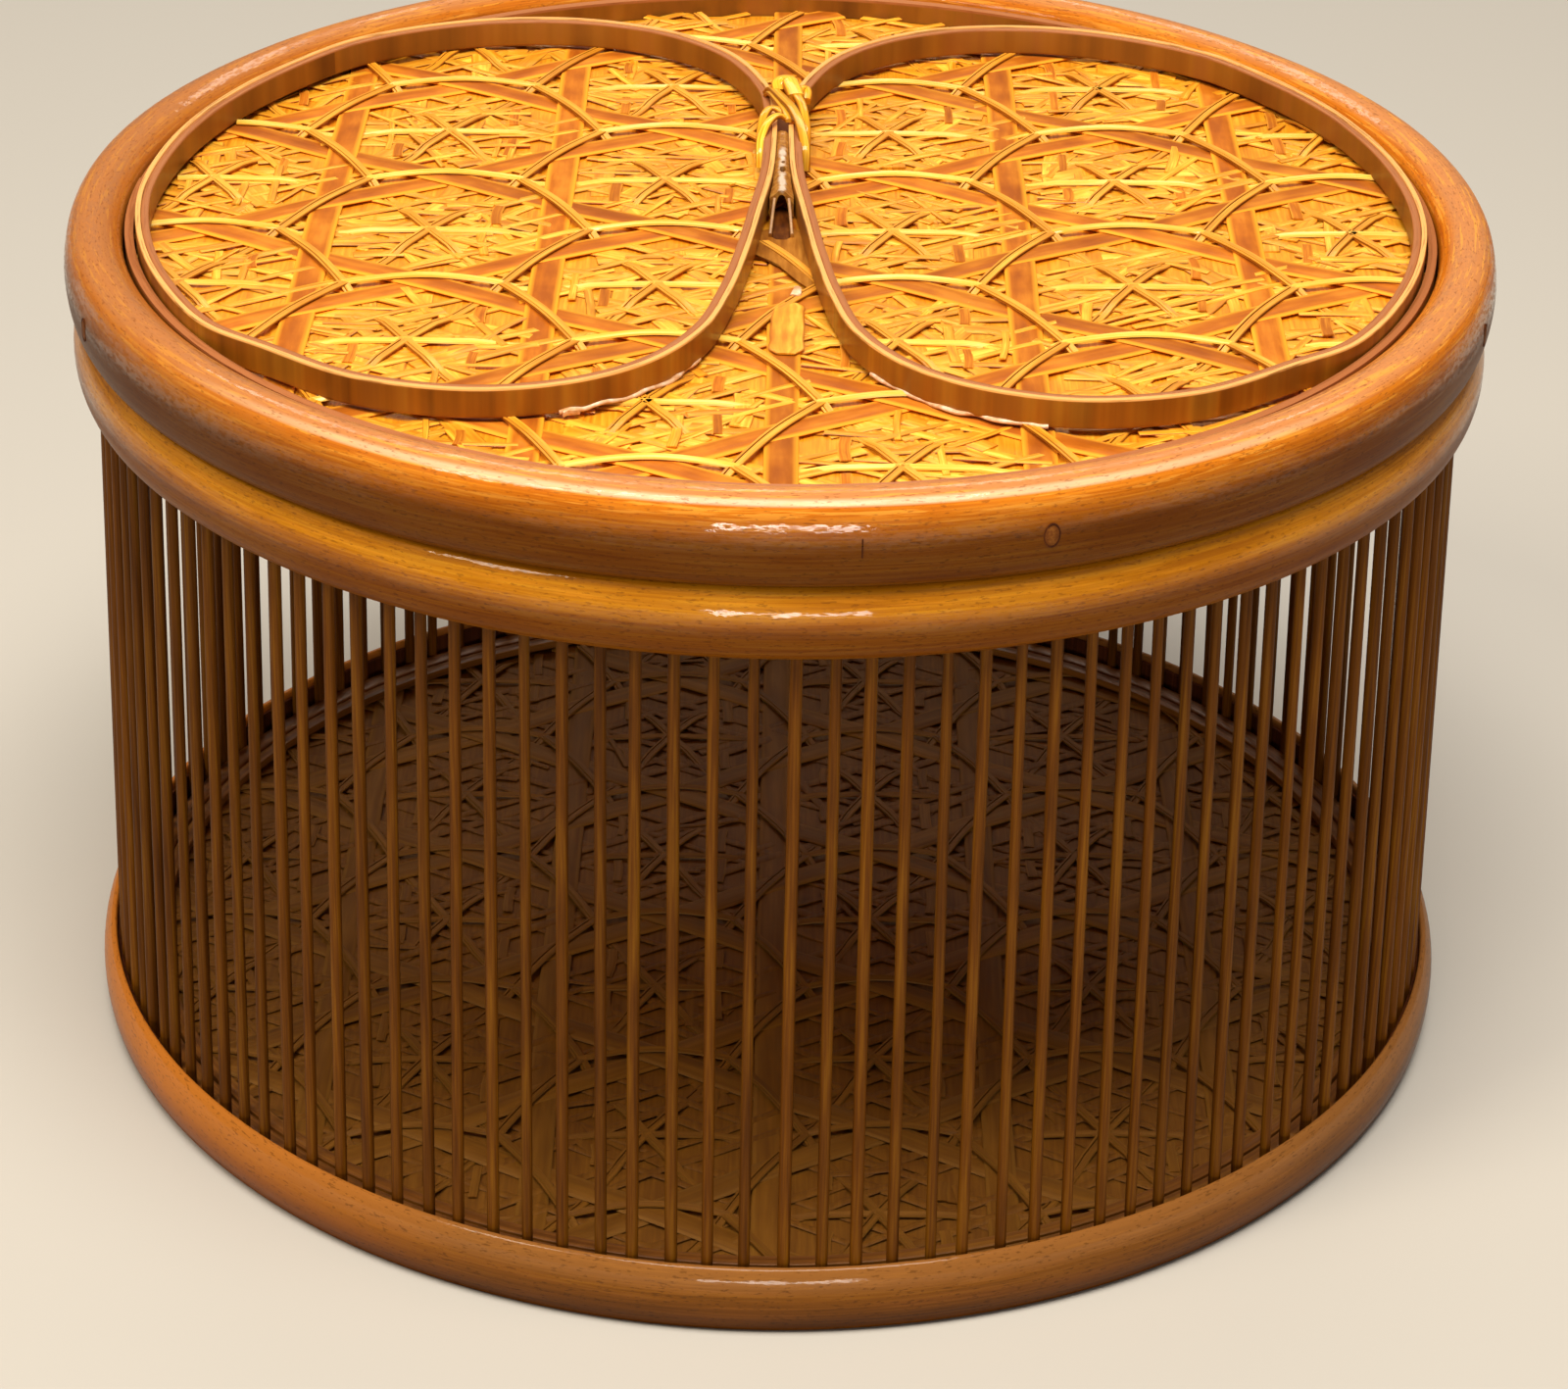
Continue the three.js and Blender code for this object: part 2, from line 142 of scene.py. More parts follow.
@dataclass(frozen=True)
class Outline:
    """Cross-section drawn through listed points, each given as radius and height in metres."""

    knots: tuple[tuple[float, float], ...]
    points: int = 36

    @property
    def box(self) -> tuple[float, float, float, float]:
        """Smallest and largest radius, then smallest and largest height."""
        radii = [knot[0] for knot in self.knots]
        heights = [knot[1] for knot in self.knots]
        return min(radii), max(radii), min(heights), max(heights)

    @property
    def width(self) -> float:
        """Width of the section."""
        return self.box[1] - self.box[0]

    @property
    def height(self) -> float:
        """Height of the section."""
        return self.box[3] - self.box[2]

    @property
    def middle(self) -> tuple[float, float]:
        """Radius and height of the section's middle."""
        inside, outside, bottom, top = self.box
        return (inside + outside) / 2, (bottom + top) / 2

    def place(self, share: float) -> tuple[float, float]:
        """Gives a point of the outline.

        Args:
            share: How far round the outline, from 0 to 1.

        Returns:
            Its distance across and up from the section's middle.
        """
        spot = smooth_curve([Vector((*knot, 0)) for knot in self.knots], share)
        radius, height = self.middle
        return spot.x - radius, spot.y - height


class Piece:
    """One visible piece while it is being built."""

    def __init__(self, name: str) -> None:
        """Starts an empty mesh.

        Args:
            name: The piece's name in the scene.
        """
        self.name = name
        self.mesh = bmesh.new()
        self.mesh.loops.layers.uv.new("Strip")
        self.mesh.verts.layers.float.new("Tone")
        self.mesh.verts.layers.float.new("Rise")

    def sweep(
        self,
        path: Callable[[float], Vector],
        steps: int,
        section: Section | Outline,
        tone: float = 0.5,
        closed: bool = False,
        tilt: Callable[[float], float] | None = None,
    ) -> None:
        """Bends a strip along a path, with its width level and square to the path.

        Args:
            path: Gives the middle of the strip at a share of its length.
            steps: Number of lengths that it is made of.
            section: Its cross-section.
            tone: How light the strip is, from 0 to 1.
            closed: Whether its end meets its start.
            tilt: Gives how far the strip is turned about its own path, in radians.
        """
        bm = self.mesh
        made = bmesh.ops.create_grid(bm, x_segments=steps, y_segments=section.points, size=1.0)
        uv_layer = bm.loops.layers.uv["Strip"]
        tone_layer = bm.verts.layers.float["Tone"]
        rise_layer = bm.verts.layers.float["Rise"]
        rows: dict[int, tuple[Vector, Vector, Vector]] = {}
        length = 0.0
        lengths = [0.0]
        for row in range(steps + 1):
            share = row / steps
            reach = 0.5 / steps
            before, after = share - reach, share + reach
            if closed:
                before, after = before % 1.0, after % 1.0
            else:
                before, after = max(before, 0.0), min(after, 1.0)
            centre = path(share % 1.0 if closed else share)
            along = (path(after) - path(before)).normalized()
            across = along.cross(Vector((0, 0, 1))).normalized()
            up = across.cross(along)
            if tilt is not None:
                turn = Matrix.Rotation(tilt(share), 3, along)
                across, up = turn @ across, turn @ up
            if row:
                length += (centre - rows[row - 1][0]).length
                lengths.append(length)
            rows[row] = (centre, across, up)
        marks: dict[bmesh.types.BMVert, tuple[float, float]] = {}
        for vert in made["verts"]:
            row = round((vert.co.x + 1) / 2 * steps)
            column = round((vert.co.y + 1) / 2 * section.points)
            out, rise = section.place((column % section.points) / section.points)
            centre, across, up = rows[row]
            vert.co = centre + across * out + up * rise
            vert[tone_layer] = tone
            vert[rise_layer] = 2 * rise / section.height
            marks[vert] = (lengths[row] / MM, 2 * out / section.width)
        faces = {face for vert in made["verts"] for face in vert.link_faces}
        for face in faces:
            for loop in face.loops:
                loop[uv_layer].uv = marks[loop.vert]

    def revolve(self, section: Section | Outline, radius: float, height: float, steps: int) -> None:
        """Bends a strip into a whole hoop about the basket's axis.

        Args:
            section: Its cross-section.
            radius: From the axis to the section's middle.
            height: Height of the section's middle.
            steps: Number of lengths that it is made of.
        """
        bm = self.mesh
        rise_layer = bm.verts.layers.float["Rise"]
        made = bmesh.ops.create_circle(bm, cap_ends=False, segments=section.points, radius=1.0)
        for vert in made["verts"]:
            share = (math.atan2(vert.co.y, vert.co.x) / (2 * math.pi)) % 1.0
            out, rise = section.place(round(share * section.points) / section.points)
            vert.co = Vector((radius + out, 0, height + rise))
            vert[rise_layer] = 2 * rise / section.height
        edges = {edge for vert in made["verts"] for edge in vert.link_edges}
        bmesh.ops.spin(
            bm,
            geom=list(made["verts"]) + list(edges),
            cent=(0, 0, 0),
            axis=(0, 0, 1),
            dvec=(0, 0, 0),
            angle=2 * math.pi,
            steps=steps,
            use_merge=True,
        )

    def close_ends(self) -> None:
        """Merges the seams of swept strips and closes their open ends."""
        bmesh.ops.remove_doubles(self.mesh, verts=self.mesh.verts[:], dist=1e-7)
        open_edges = [edge for edge in self.mesh.edges if edge.is_boundary]
        if open_edges:
            bmesh.ops.holes_fill(self.mesh, edges=open_edges, sides=0)

    def roughen(self, size: float, pitch: float, seed: float) -> None:
        """Gives the piece a smooth hand-made unevenness, outwards and upwards."""
        for vert in self.mesh.verts:
            outwards = Vector((vert.co.x, vert.co.y, 0)).normalized()
            vert.co += outwards * unevenness(vert.co, size, pitch, seed)
            vert.co.z += unevenness(vert.co, size * 0.6, pitch, seed + 5)

    def finish(
        self,
        finish: "Finish",
        body: str,
        replaces: Iterable[str] = (),
        crease: float = 50,
    ) -> bpy.types.Object:
        """Turns the mesh into an object of the scene that rides on a body.

        Args:
            finish: Its material.
            body: The body that it moves with.
            replaces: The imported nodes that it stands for.
            crease: Angle in degrees above which an edge stays sharp.

        Returns:
            The new object.
        """
        bm = self.mesh
        bmesh.ops.recalc_face_normals(bm, faces=bm.faces[:])
        for face in bm.faces:
            face.smooth = True
        mesh = bpy.data.meshes.new(self.name)
        bm.to_mesh(mesh)
        count = len(bm.faces)
        bm.free()
        mesh.set_sharp_from_angle(angle=math.radians(crease))
        mesh.materials.append(finish.material())
        obj = bpy.data.objects.new(self.name, mesh)
        bpy.context.scene.collection.objects.link(obj)
        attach(obj, body)
        for node in replaces:
            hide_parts(node)
        LOG.info("%s: %d faces, on %s", self.name, count, body)
        return obj


@dataclass(frozen=True)
class Span:
    """Outer radius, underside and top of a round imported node."""

    radius: float
    bottom: float
    top: float

    @classmethod
    def of(cls, node: str) -> "Span":
        """Reads a node's box."""
        low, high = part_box(node)
        return cls(radius=high[1], bottom=low[2], top=high[2])

    @property
    def height(self) -> float:
        """Height from underside to top."""
        return self.top - self.bottom

    @property
    def middle(self) -> float:
        """Height of the middle."""
        return (self.top + self.bottom) / 2


# Finishes


def linear(colour: str) -> tuple[float, float, float, float]:
    """Turns an sRGB hex colour into linear red, green, blue and alpha."""
    channels = [int(colour[index : index + 2], 16) / 255 for index in (1, 3, 5)]
    curved = [value / 12.92 if value <= 0.04045 else ((value + 0.055) / 1.055) ** 2.4 for value in channels]
    return (curved[0], curved[1], curved[2], 1.0)


def add_node(
    tree: bpy.types.NodeTree,
    kind: str,
    inputs: dict | None = None,
    stops: Iterable[tuple[float, str]] = (),
    **settings: object,
) -> bpy.types.Node:
    """Adds one shader node.

    Args:
        tree: The material's node tree.
        kind: The node's type, without its ShaderNode prefix.
        inputs: Values, or sockets to link from, by the input's name or number.
        stops: Places and hex colours of a colour ramp.
        settings: The node's own settings.

    Returns:
        The new node.
    """
    node = tree.nodes.new("ShaderNode" + kind)
    for name, value in settings.items():
        setattr(node, name, value)
    stops = list(stops)
    while stops and len(node.color_ramp.elements) < len(stops):
        node.color_ramp.elements.new(1.0)
    for element, (position, colour) in zip(node.color_ramp.elements if stops else (), stops):
        element.position = position
        element.color = linear(colour)
    for name, value in (inputs or {}).items():
        if isinstance(value, bpy.types.NodeSocket):
            tree.links.new(value, node.inputs[name])
        else:
            node.inputs[name].default_value = value
    return node


class Grain(Enum):
    """Which way the fibres of a piece run."""

    ROUND_HOOP = "round the basket"
    UPRIGHT = "up and down"
    FRONT_TO_BACK = "front to back"
    ALONG_STRIP = "along the strip"


@dataclass(frozen=True)
class Finish:
    """Bamboo or cane under varnish, with fibres along the piece.

    Split bamboo shows parallel fibres well under a millimetre wide. Its varnish is warm and glossy,
    pooled lighter and darker along the fibres.

    Attributes:
        name: Common name of the material.
        slot: The record's material slot; not used.
        grain: Which way the fibres run.
        colours: Fibre colours from dark to light.
        sheen_colour: Colour of the broad paler or duller bands.
        sheen_share: How strongly those bands show, from 0 to 1.
        edge_colour: Colour of a strip's two edges, where the skin is shaved off.
        edge_start: How far from the strip's middle the edges start, from 0 to 1.
        edge_blend: Over how much of the strip's width the edge colour comes in.
        top_colour: Colour of the uppermost part: the cut edge of a strip, the filler's pale scraped top, a worn band
            with a painted reflection on the lid's hoop, and painted light on the base hoop's crest.
        top_start: How high up the section the top starts, from -1 to 1.
        top_blend: Over how much of the height the top colour comes in.
        top_share: How strongly the top colour shows, from 0 to 1.
        flake_colour: Colour of short shiny flakes of the fibres.
        flake_share: How strongly the flakes show, from 0 to 1.
        flake_start: How high up the section the flakes start, from -1 to 1.
        painted_low_shade: Lightness of the section's underside against 1 above: painted shade, darker towards the
            bottom.
        low_from: How high up the section that shade begins, from -1 to 1.
        low_to: How high up the section it ends.
        painted_shade_red: How far that painted shade turns towards red, as a share of the hue circle.
        left_painted_light_colour: Colour painted towards the basket's left side for how light falls there: painted
            light where it is lighter, painted shade where it is darker.
        left_painted_light_share: How strongly it shows there, from 0 to 1.
        painted_highlight_colour: Colour of a painted highlight along the crest at the front.
        crest_at: How high up the section the painted highlight lies, from -1 to 1.
        crest_width: How far the painted highlight reaches above and below that height.
        painted_highlight_share: How strongly the painted highlight shows, from 0 to 1.
        tone_spread: How much the pieces differ in lightness.
        fibre_width: Width of one fibre.
        fibre_length: Length over which a fibre changes.
        specular: Share of the bamboo's own mirror light, low because varnish and dust lie on it.
        low_coat: Share of varnish left on the underside. Below 0, the varnish is even all over.
        rubbed: How much of the varnish is rubbed off in streaks and spots, from 0 to 1.
        speck_colour: Colour of small specks of dirt and wear along the fibres.
        speck_share: How strongly the specks show, from 0 to 1.
    """

    name: str
    slot: str
    grain: Grain
    colours: tuple[str, str, str]
    sheen_colour: str = "#B98A66"
    sheen_share: float = 0.0
    edge_colour: str = ""
    edge_start: float = 0.72
    edge_blend: float = 0.08
    top_colour: str = ""
    top_start: float = 0.9
    top_blend: float = 0.04
    top_share: float = 1.0
    flake_colour: str = ""
    flake_share: float = 0.5
    flake_start: float = -2.0
    painted_low_shade: float = 1.0
    low_from: float = -1.0
    low_to: float = 0.4
    painted_shade_red: float = 0.0
    left_painted_light_colour: str = ""
    left_painted_light_share: float = 0.5
    painted_highlight_colour: str = ""
    crest_at: float = 0.87
    crest_width: float = 0.07
    painted_highlight_share: float = 0.8
    tone_spread: float = 0.0
    fibre_width: float = 0.5 * MM
    fibre_length: float = 40 * MM
    roughness: float = 0.38
    coat: float = 0.5
    coat_roughness: float = 0.12
    specular: float = 0.3
    low_coat: float = -1.0
    rubbed: float = 0.0
    speck_colour: str = ""
    speck_share: float = 0.5
    bump: float = 0.25

    def material(self) -> bpy.types.Material:
        """Gives the material, made on first use."""
        known = bpy.data.materials.get(self.name)
        if known is not None:
            return known
        material = bpy.data.materials.new(self.name)
        material.use_nodes = True
        tree = material.node_tree
        tree.nodes.clear()
        fine = self.fibres(tree, self.fibre_width, self.fibre_length, 6.0)
        broad = self.fibres(tree, self.fibre_width * 6, self.fibre_length, 4.0)
        colour = self.paint(tree, fine, broad)
        bump = add_node(
            tree,
            "Bump",
            {"Strength": self.bump, "Distance": 0.1 * MM, "Height": fine.outputs[0]},
        )
        varnish: float | bpy.types.NodeSocket = self.coat
        skin_normal: dict[str, bpy.types.NodeSocket] = {}
        if self.low_coat >= 0:
            rise = add_node(tree, "Attribute", attribute_name="Rise")
            worn = add_node(
                tree,
                "MapRange",
                {0: rise.outputs["Fac"], 1: self.low_from - 0.2, 2: self.low_from + 0.15, 3: self.low_coat, 4: self.coat},
            )
            streaks = add_node(
                tree, "MapRange", {0: broad.outputs[0], 1: 0.4, 2: 0.56, 3: 1 - self.rubbed, 4: 1.0}
            )
            whole = add_node(
                tree, "Math", {0: worn.outputs[0], 1: streaks.outputs[0]}, operation="MULTIPLY"
            )
            pits = self.fibres(tree, 0.5 * MM, 1.4 * MM, 3.0)
            spots = add_node(
                tree, "MapRange", {0: pits.outputs[0], 1: 0.42, 2: 0.52, 3: 1 - self.rubbed, 4: 1.0}
            )
            varnish = add_node(
                tree, "Math", {0: whole.outputs[0], 1: spots.outputs[0]}, operation="MULTIPLY"
            ).outputs[0]
            lumps = self.fibres(tree, 1.2 * MM, 3 * MM, 2.0)
            skin = add_node(
                tree, "Bump", {"Strength": 0.6, "Distance": 0.11 * MM, "Height": lumps.outputs[0]}
            )
            skin_normal = {"Coat Normal": skin.outputs[0]}
        shader = add_node(
            tree,
            "BsdfPrincipled",
            {
                "Base Color": colour,
                "Roughness": self.roughness,
                "IOR": 1.5,
                "Specular IOR Level": self.specular,
                "Coat Weight": varnish,
                "Coat Roughness": self.coat_roughness,
                "Coat IOR": 1.5,
                "Normal": bump.outputs[0],
                **skin_normal,
            },
        )
        add_node(tree, "OutputMaterial", {"Surface": shader.outputs[0]})
        return material

    def fibres(self, tree: bpy.types.NodeTree, width: float, length: float, detail: float) -> bpy.types.Node:
        """Adds noise drawn out along the grain.

        Args:
            tree: The material's node tree.
            width: Distance over which it changes across the grain.
            length: Distance over which it changes along the grain.
            detail: Octaves of the noise.

        Returns:
            The noise node.
        """
        across, along = 1 / width, 1 / length
        if self.grain is Grain.ALONG_STRIP:
            source = add_node(tree, "UVMap", uv_map="Strip")
            tone = add_node(tree, "Attribute", attribute_name="Tone")
            scale = (along * MM, across * MM, 1.0)
            place = add_node(
                tree, "VectorMath", {0: source.outputs[0], 1: scale}, operation="MULTIPLY"
            )
            drift = add_node(tree, "Math", {0: tone.outputs["Fac"], 1: 97.0}, operation="MULTIPLY")
            return add_node(
                tree,
                "TexNoise",
                {"Vector": place.outputs[0], "W": drift.outputs[0], "Scale": 1.0, "Detail": detail},
                noise_dimensions="4D",
            )
        source = add_node(tree, "TexCoord")
        scales = {
            Grain.ROUND_HOOP: (along, along, across),
            Grain.UPRIGHT: (across, across, along),
            Grain.FRONT_TO_BACK: (across, along, across),
        }
        place = add_node(
            tree,
            "VectorMath",
            {0: source.outputs["Object"], 1: scales[self.grain]},
            operation="MULTIPLY",
        )
        values: dict = {"Vector": place.outputs[0], "Scale": 1.0, "Detail": detail}
        if self.grain is Grain.ROUND_HOOP:
            level = add_node(
                tree,
                "VectorMath",
                {0: source.outputs["Object"], 1: (across, across, 0.0)},
                operation="MULTIPLY",
            )
            radius = add_node(tree, "VectorMath", {0: level.outputs[0]}, operation="LENGTH")
            values["W"] = radius.outputs["Value"]
        return add_node(tree, "TexNoise", values, noise_dimensions="4D")

    def paint(
        self, tree: bpy.types.NodeTree, fine: bpy.types.Node, broad: bpy.types.Node
    ) -> bpy.types.NodeSocket:
        """Adds the nodes of the colour.

        Args:
            tree: The material's node tree.
            fine: Noise of the fibres.
            broad: Noise of the broad bands.

        Returns:
            The colour's socket.
        """
        dark, middle, light = self.colours
        both = add_node(
            tree, "Mix", {0: 0.45, 2: fine.outputs[0], 3: broad.outputs[0]}, data_type="FLOAT"
        )
        ramp = add_node(
            tree,
            "ValToRGB",
            {0: both.outputs[0]},
            stops=[(0.36, dark), (0.5, middle), (0.64, light)],
        )
        colour = ramp.outputs[0]
        if self.sheen_share:
            bands = add_node(
                tree,
                "MapRange",
                {0: broad.outputs[0], 1: 0.5, 2: 0.66, 3: 0.0, 4: self.sheen_share},
            )
            colour = self.mix(tree, bands.outputs[0], colour, self.sheen_colour)
        if self.edge_colour:
            strip = add_node(tree, "UVMap", uv_map="Strip")
            parts = add_node(tree, "SeparateXYZ", {0: strip.outputs[0]})
            side = add_node(tree, "Math", {0: parts.outputs[1]}, operation="ABSOLUTE")
            edge = add_node(
                tree,
                "MapRange",
                {0: side.outputs[0], 1: self.edge_start, 2: self.edge_start + self.edge_blend},
            )
            colour = self.mix(tree, edge.outputs[0], colour, self.edge_colour)
        if self.top_colour:
            rise = add_node(tree, "Attribute", attribute_name="Rise")
            top = add_node(
                tree,
                "MapRange",
                {0: rise.outputs["Fac"], 1: self.top_start, 2: self.top_start + self.top_blend, 4: self.top_share},
            )
            colour = self.mix(tree, top.outputs[0], colour, self.top_colour)
        if self.flake_colour:
            colour = self.flakes(tree, colour)
        # Painted light and shade towards the basket's left side
        if self.left_painted_light_colour:
            place = add_node(tree, "TexCoord")
            parts = add_node(tree, "SeparateXYZ", {0: place.outputs["Object"]})
            left = add_node(
                tree,
                "MapRange",
                {0: parts.outputs[0], 1: -45 * MM, 2: -100 * MM, 3: 0.0, 4: self.left_painted_light_share},
            )
            colour = self.mix(tree, left.outputs[0], colour, self.left_painted_light_colour)
        # Painted highlight along the front crest
        if self.painted_highlight_colour:
            colour = self.crest(tree, colour)
        if self.speck_colour:
            specks = self.fibres(tree, 0.3 * MM, 1.2 * MM, 3.0)
            share = add_node(
                tree, "MapRange", {0: specks.outputs[0], 1: 0.58, 2: 0.65, 4: self.speck_share}
            )
            colour = self.mix(tree, share.outputs[0], colour, self.speck_colour)
        if self.tone_spread:
            colour = self.shade(
                tree, "Tone", (0.0, 1 - self.tone_spread), (1.0, 1 + self.tone_spread), colour
            )
        # Painted shade: darker, and redder where set, towards the bottom of the section
        if self.painted_low_shade < 1:
            start, end = (self.low_from, self.painted_low_shade), (self.low_to, 1.0)
            colour = self.shade(tree, "Rise", start, end, colour, self.painted_shade_red)
        return colour

    def crest(self, tree: bpy.types.NodeTree, colour: bpy.types.NodeSocket) -> bpy.types.NodeSocket:
        """Adds a painted highlight: a pale line along the crest, at the front only.

        Args:
            tree: The material's node tree.
            colour: The colour under it.

        Returns:
            The colour with the painted highlight.
        """
        rise = add_node(tree, "Attribute", attribute_name="Rise")
        above = add_node(tree, "Math", {0: rise.outputs["Fac"], 1: self.crest_at}, operation="SUBTRACT")
        away = add_node(tree, "Math", {0: above.outputs[0]}, operation="ABSOLUTE")
        place = add_node(tree, "TexCoord")
        parts = add_node(tree, "SeparateXYZ", {0: place.outputs["Object"]})
        front = add_node(
            tree, "MapRange", {0: parts.outputs[1], 1: -70 * MM, 2: -104 * MM, 3: 0.0, 4: self.painted_highlight_share}
        )
        line = add_node(
            tree,
            "MapRange",
            {0: away.outputs[0], 1: self.crest_width, 2: self.crest_width * 0.4, 3: 0.0, 4: front.outputs[0]},
        )
        return self.mix(tree, line.outputs[0], colour, self.painted_highlight_colour)

    def flakes(self, tree: bpy.types.NodeTree, colour: bpy.types.NodeSocket) -> bpy.types.NodeSocket:
        """Adds short flakes of another colour along the grain, on the upper part of the section.

        Args:
            tree: The material's node tree.
            colour: The colour under them.

        Returns:
            The colour with the flakes.
        """
        spots = self.fibres(tree, 0.5 * MM, 9 * MM, 4.0)
        rise = add_node(tree, "Attribute", attribute_name="Rise")
        strength = add_node(
            tree,
            "MapRange",
            {0: rise.outputs["Fac"], 1: self.flake_start, 2: self.flake_start + 0.5, 4: self.flake_share},
        )
        share = add_node(
            tree, "MapRange", {0: spots.outputs[0], 1: 0.54, 2: 0.62, 4: strength.outputs[0]}
        )
        return self.mix(tree, share.outputs[0], colour, self.flake_colour)

    def mix(
        self, tree: bpy.types.NodeTree, share: bpy.types.NodeSocket, under: bpy.types.NodeSocket, over: str
    ) -> bpy.types.NodeSocket:
        """Lays one colour over another.

        Args:
            tree: The material's node tree.
            share: How much of the upper colour shows.
            under: The lower colour.
            over: The upper colour, in hex.

        Returns:
            The mixed colour's socket.
        """
        node = add_node(tree, "Mix", {0: share, 6: under, 7: linear(over)}, data_type="RGBA")
        return node.outputs[2]

    def shade(
        self,
        tree: bpy.types.NodeTree,
        attribute: str,
        start: tuple[float, float],
        end: tuple[float, float],
        colour: bpy.types.NodeSocket,
        redness: float = 0.0,
    ) -> bpy.types.NodeSocket:
        """Makes a colour lighter or darker by an attribute of the mesh.

        Args:
            tree: The material's node tree.
            attribute: The attribute's name.
            start: A value of the attribute, and the lightness there.
            end: Another value of the attribute, and the lightness there.
            colour: The colour.
            redness: How far its hue turns towards red at the first value.

        Returns:
            The shaded colour's socket.
        """
        source = add_node(tree, "Attribute", attribute_name=attribute)
        level = add_node(
            tree,
            "MapRange",
            {0: source.outputs["Fac"], 1: start[0], 2: end[0], 3: start[1], 4: end[1]},
        )
        values: dict = {"Color": colour, "Value": level.outputs[0]}
        if redness:
            same_hue = 0.5
            hue = add_node(
                tree,
                "MapRange",
                {0: source.outputs["Fac"], 1: start[0], 2: end[0], 3: same_hue - redness, 4: same_hue},
            )
            values["Hue"] = hue.outputs[0]
        return add_node(tree, "HueSaturation", values).outputs[0]


BENT_HOOP = Finish(
    # Thick split bamboo bent by heat and varnished: long orange streaks, and a rosy dull band on top that is worn
    # bamboo with a painted reflection. Painted shade darkens the underside and the left side, and a painted highlight
    # runs along the front crest
    "varnished_bent_bamboo",
    "hoop",
    Grain.ROUND_HOOP,
    ("#B45C0C", "#CC7214", "#E28C22"),
    sheen_colour="#B86A24",
    sheen_share=0.3,
    # Rosy top band: worn bamboo with a painted reflection of the light above
    top_colour="#C8844E",
    top_start=0.8,
    top_blend=0.12,
    top_share=0.85,
    # Painted shade towards the left side
    left_painted_light_colour="#9E5E28",
    left_painted_light_share=0.55,
    # Painted highlight along the front crest
    painted_highlight_colour="#F4DCB4",
    painted_highlight_share=0.5,
    flake_colour="#F8AC40",
    flake_share=0.5,
    flake_start=0.2,
    # Painted shade on the lower part of the section
    painted_low_shade=0.22,
    low_from=0.05,
    low_to=0.75,
    fibre_width=0.35 * MM,
    fibre_length=22 * MM,
    roughness=0.4,
    coat=0.9,
    coat_roughness=0.06,
    specular=0.05,
    low_coat=0.06,
    rubbed=0.75,
    speck_colour="#7A3E12",
    speck_share=0.5,
)
DARKER_HOOP = Finish(
    # The same bamboo in the browner shade of the rim and the base, with painted shade that darkens and reddens it
    # towards the bottom of its section
    "brown_bent_bamboo",
    "hoop",
    Grain.ROUND_HOOP,
    ("#A25E08", "#B8720C", "#CE8A18"),
    sheen_colour="#A86C18",
    sheen_share=0.3,
    flake_colour="#D8891C",
    flake_share=0.35,
    flake_start=0.0,
    # Painted shade, darker and redder on the lower part of the section
    painted_low_shade=0.36,
    low_from=-0.1,
    low_to=0.4,
    painted_shade_red=0.012,
    fibre_width=0.35 * MM,
    fibre_length=22 * MM,
    roughness=0.4,
    coat=0.7,
    coat_roughness=0.06,
    specular=0.05,
    low_coat=0.06,
    rubbed=0.4,
    speck_colour="#6E3C08",
    speck_share=0.5,
)
BASE_HOOP = Finish(
    # The same bamboo at the foot, where floor dust has dulled the varnish. Painted light makes its crest tan and its
    # left side orange, and painted shade makes it brown below
    "dulled_brown_bent_bamboo",
    "hoop",
    Grain.ROUND_HOOP,
    ("#683C06", "#78460A", "#885410"),
    sheen_colour="#824A18",
    sheen_share=0.4,
    # Painted light on the crest
    top_colour="#8E5C2C",
    top_start=0.25,
    top_blend=0.4,
    top_share=0.8,
    # Painted light towards the left side
    left_painted_light_colour="#C87420",
    left_painted_light_share=0.75,
    flake_colour="#A0682C",
    flake_share=0.3,
    flake_start=0.0,
    # Painted shade on the lower part of the section
    painted_low_shade=0.42,
    low_from=-0.7,
    low_to=0.25,
    painted_shade_red=0.008,
    fibre_width=0.35 * MM,
    fibre_length=22 * MM,
    roughness=0.5,
    coat=0.4,
    coat_roughness=0.1,
    specular=0.0,
    low_coat=0.0,
    speck_colour="#3E2004",
    speck_share=0.45,
)
INNER_HOOP = Finish(
    # Plain split bamboo, thinly varnished where the hand doesn't reach; its dark brown is partly painted shade of the
    # basket's inside
    "plain_bent_bamboo",
    "hoop",
    Grain.ROUND_HOOP,
    ("#5E340A", "#7A4812", "#92601E"),
    fibre_width=0.5 * MM,
    fibre_length=40 * MM,
    roughness=0.5,
    coat=0.1,
)
PIN_END = Finish(
    # End grain of a bamboo pin under old varnish: brown and dull, the same shade as the hoop round it
    "brown_bamboo_pin_end",
    "hoop",
    Grain.FRONT_TO_BACK,
    ("#5A2E0C", "#6E3C12", "#84501C"),
    fibre_width=0.4 * MM,
    fibre_length=0.6 * MM,
    roughness=0.7,
    coat=0.0,
    specular=0.1,
)
DARK_SEAM_AND_SHADOW = Finish(
    # Old glue and dirt in a joint: nearly black brown, dull. The same colour lies in the base hoop's slot as a painted
    # shadow
    "dark_joint_seam_and_painted_shadow",
    "hoop",
    Grain.UPRIGHT,
    ("#341606", "#46200A", "#5A2E10"),
    roughness=0.8,
    coat=0.0,
    specular=0.1,
)
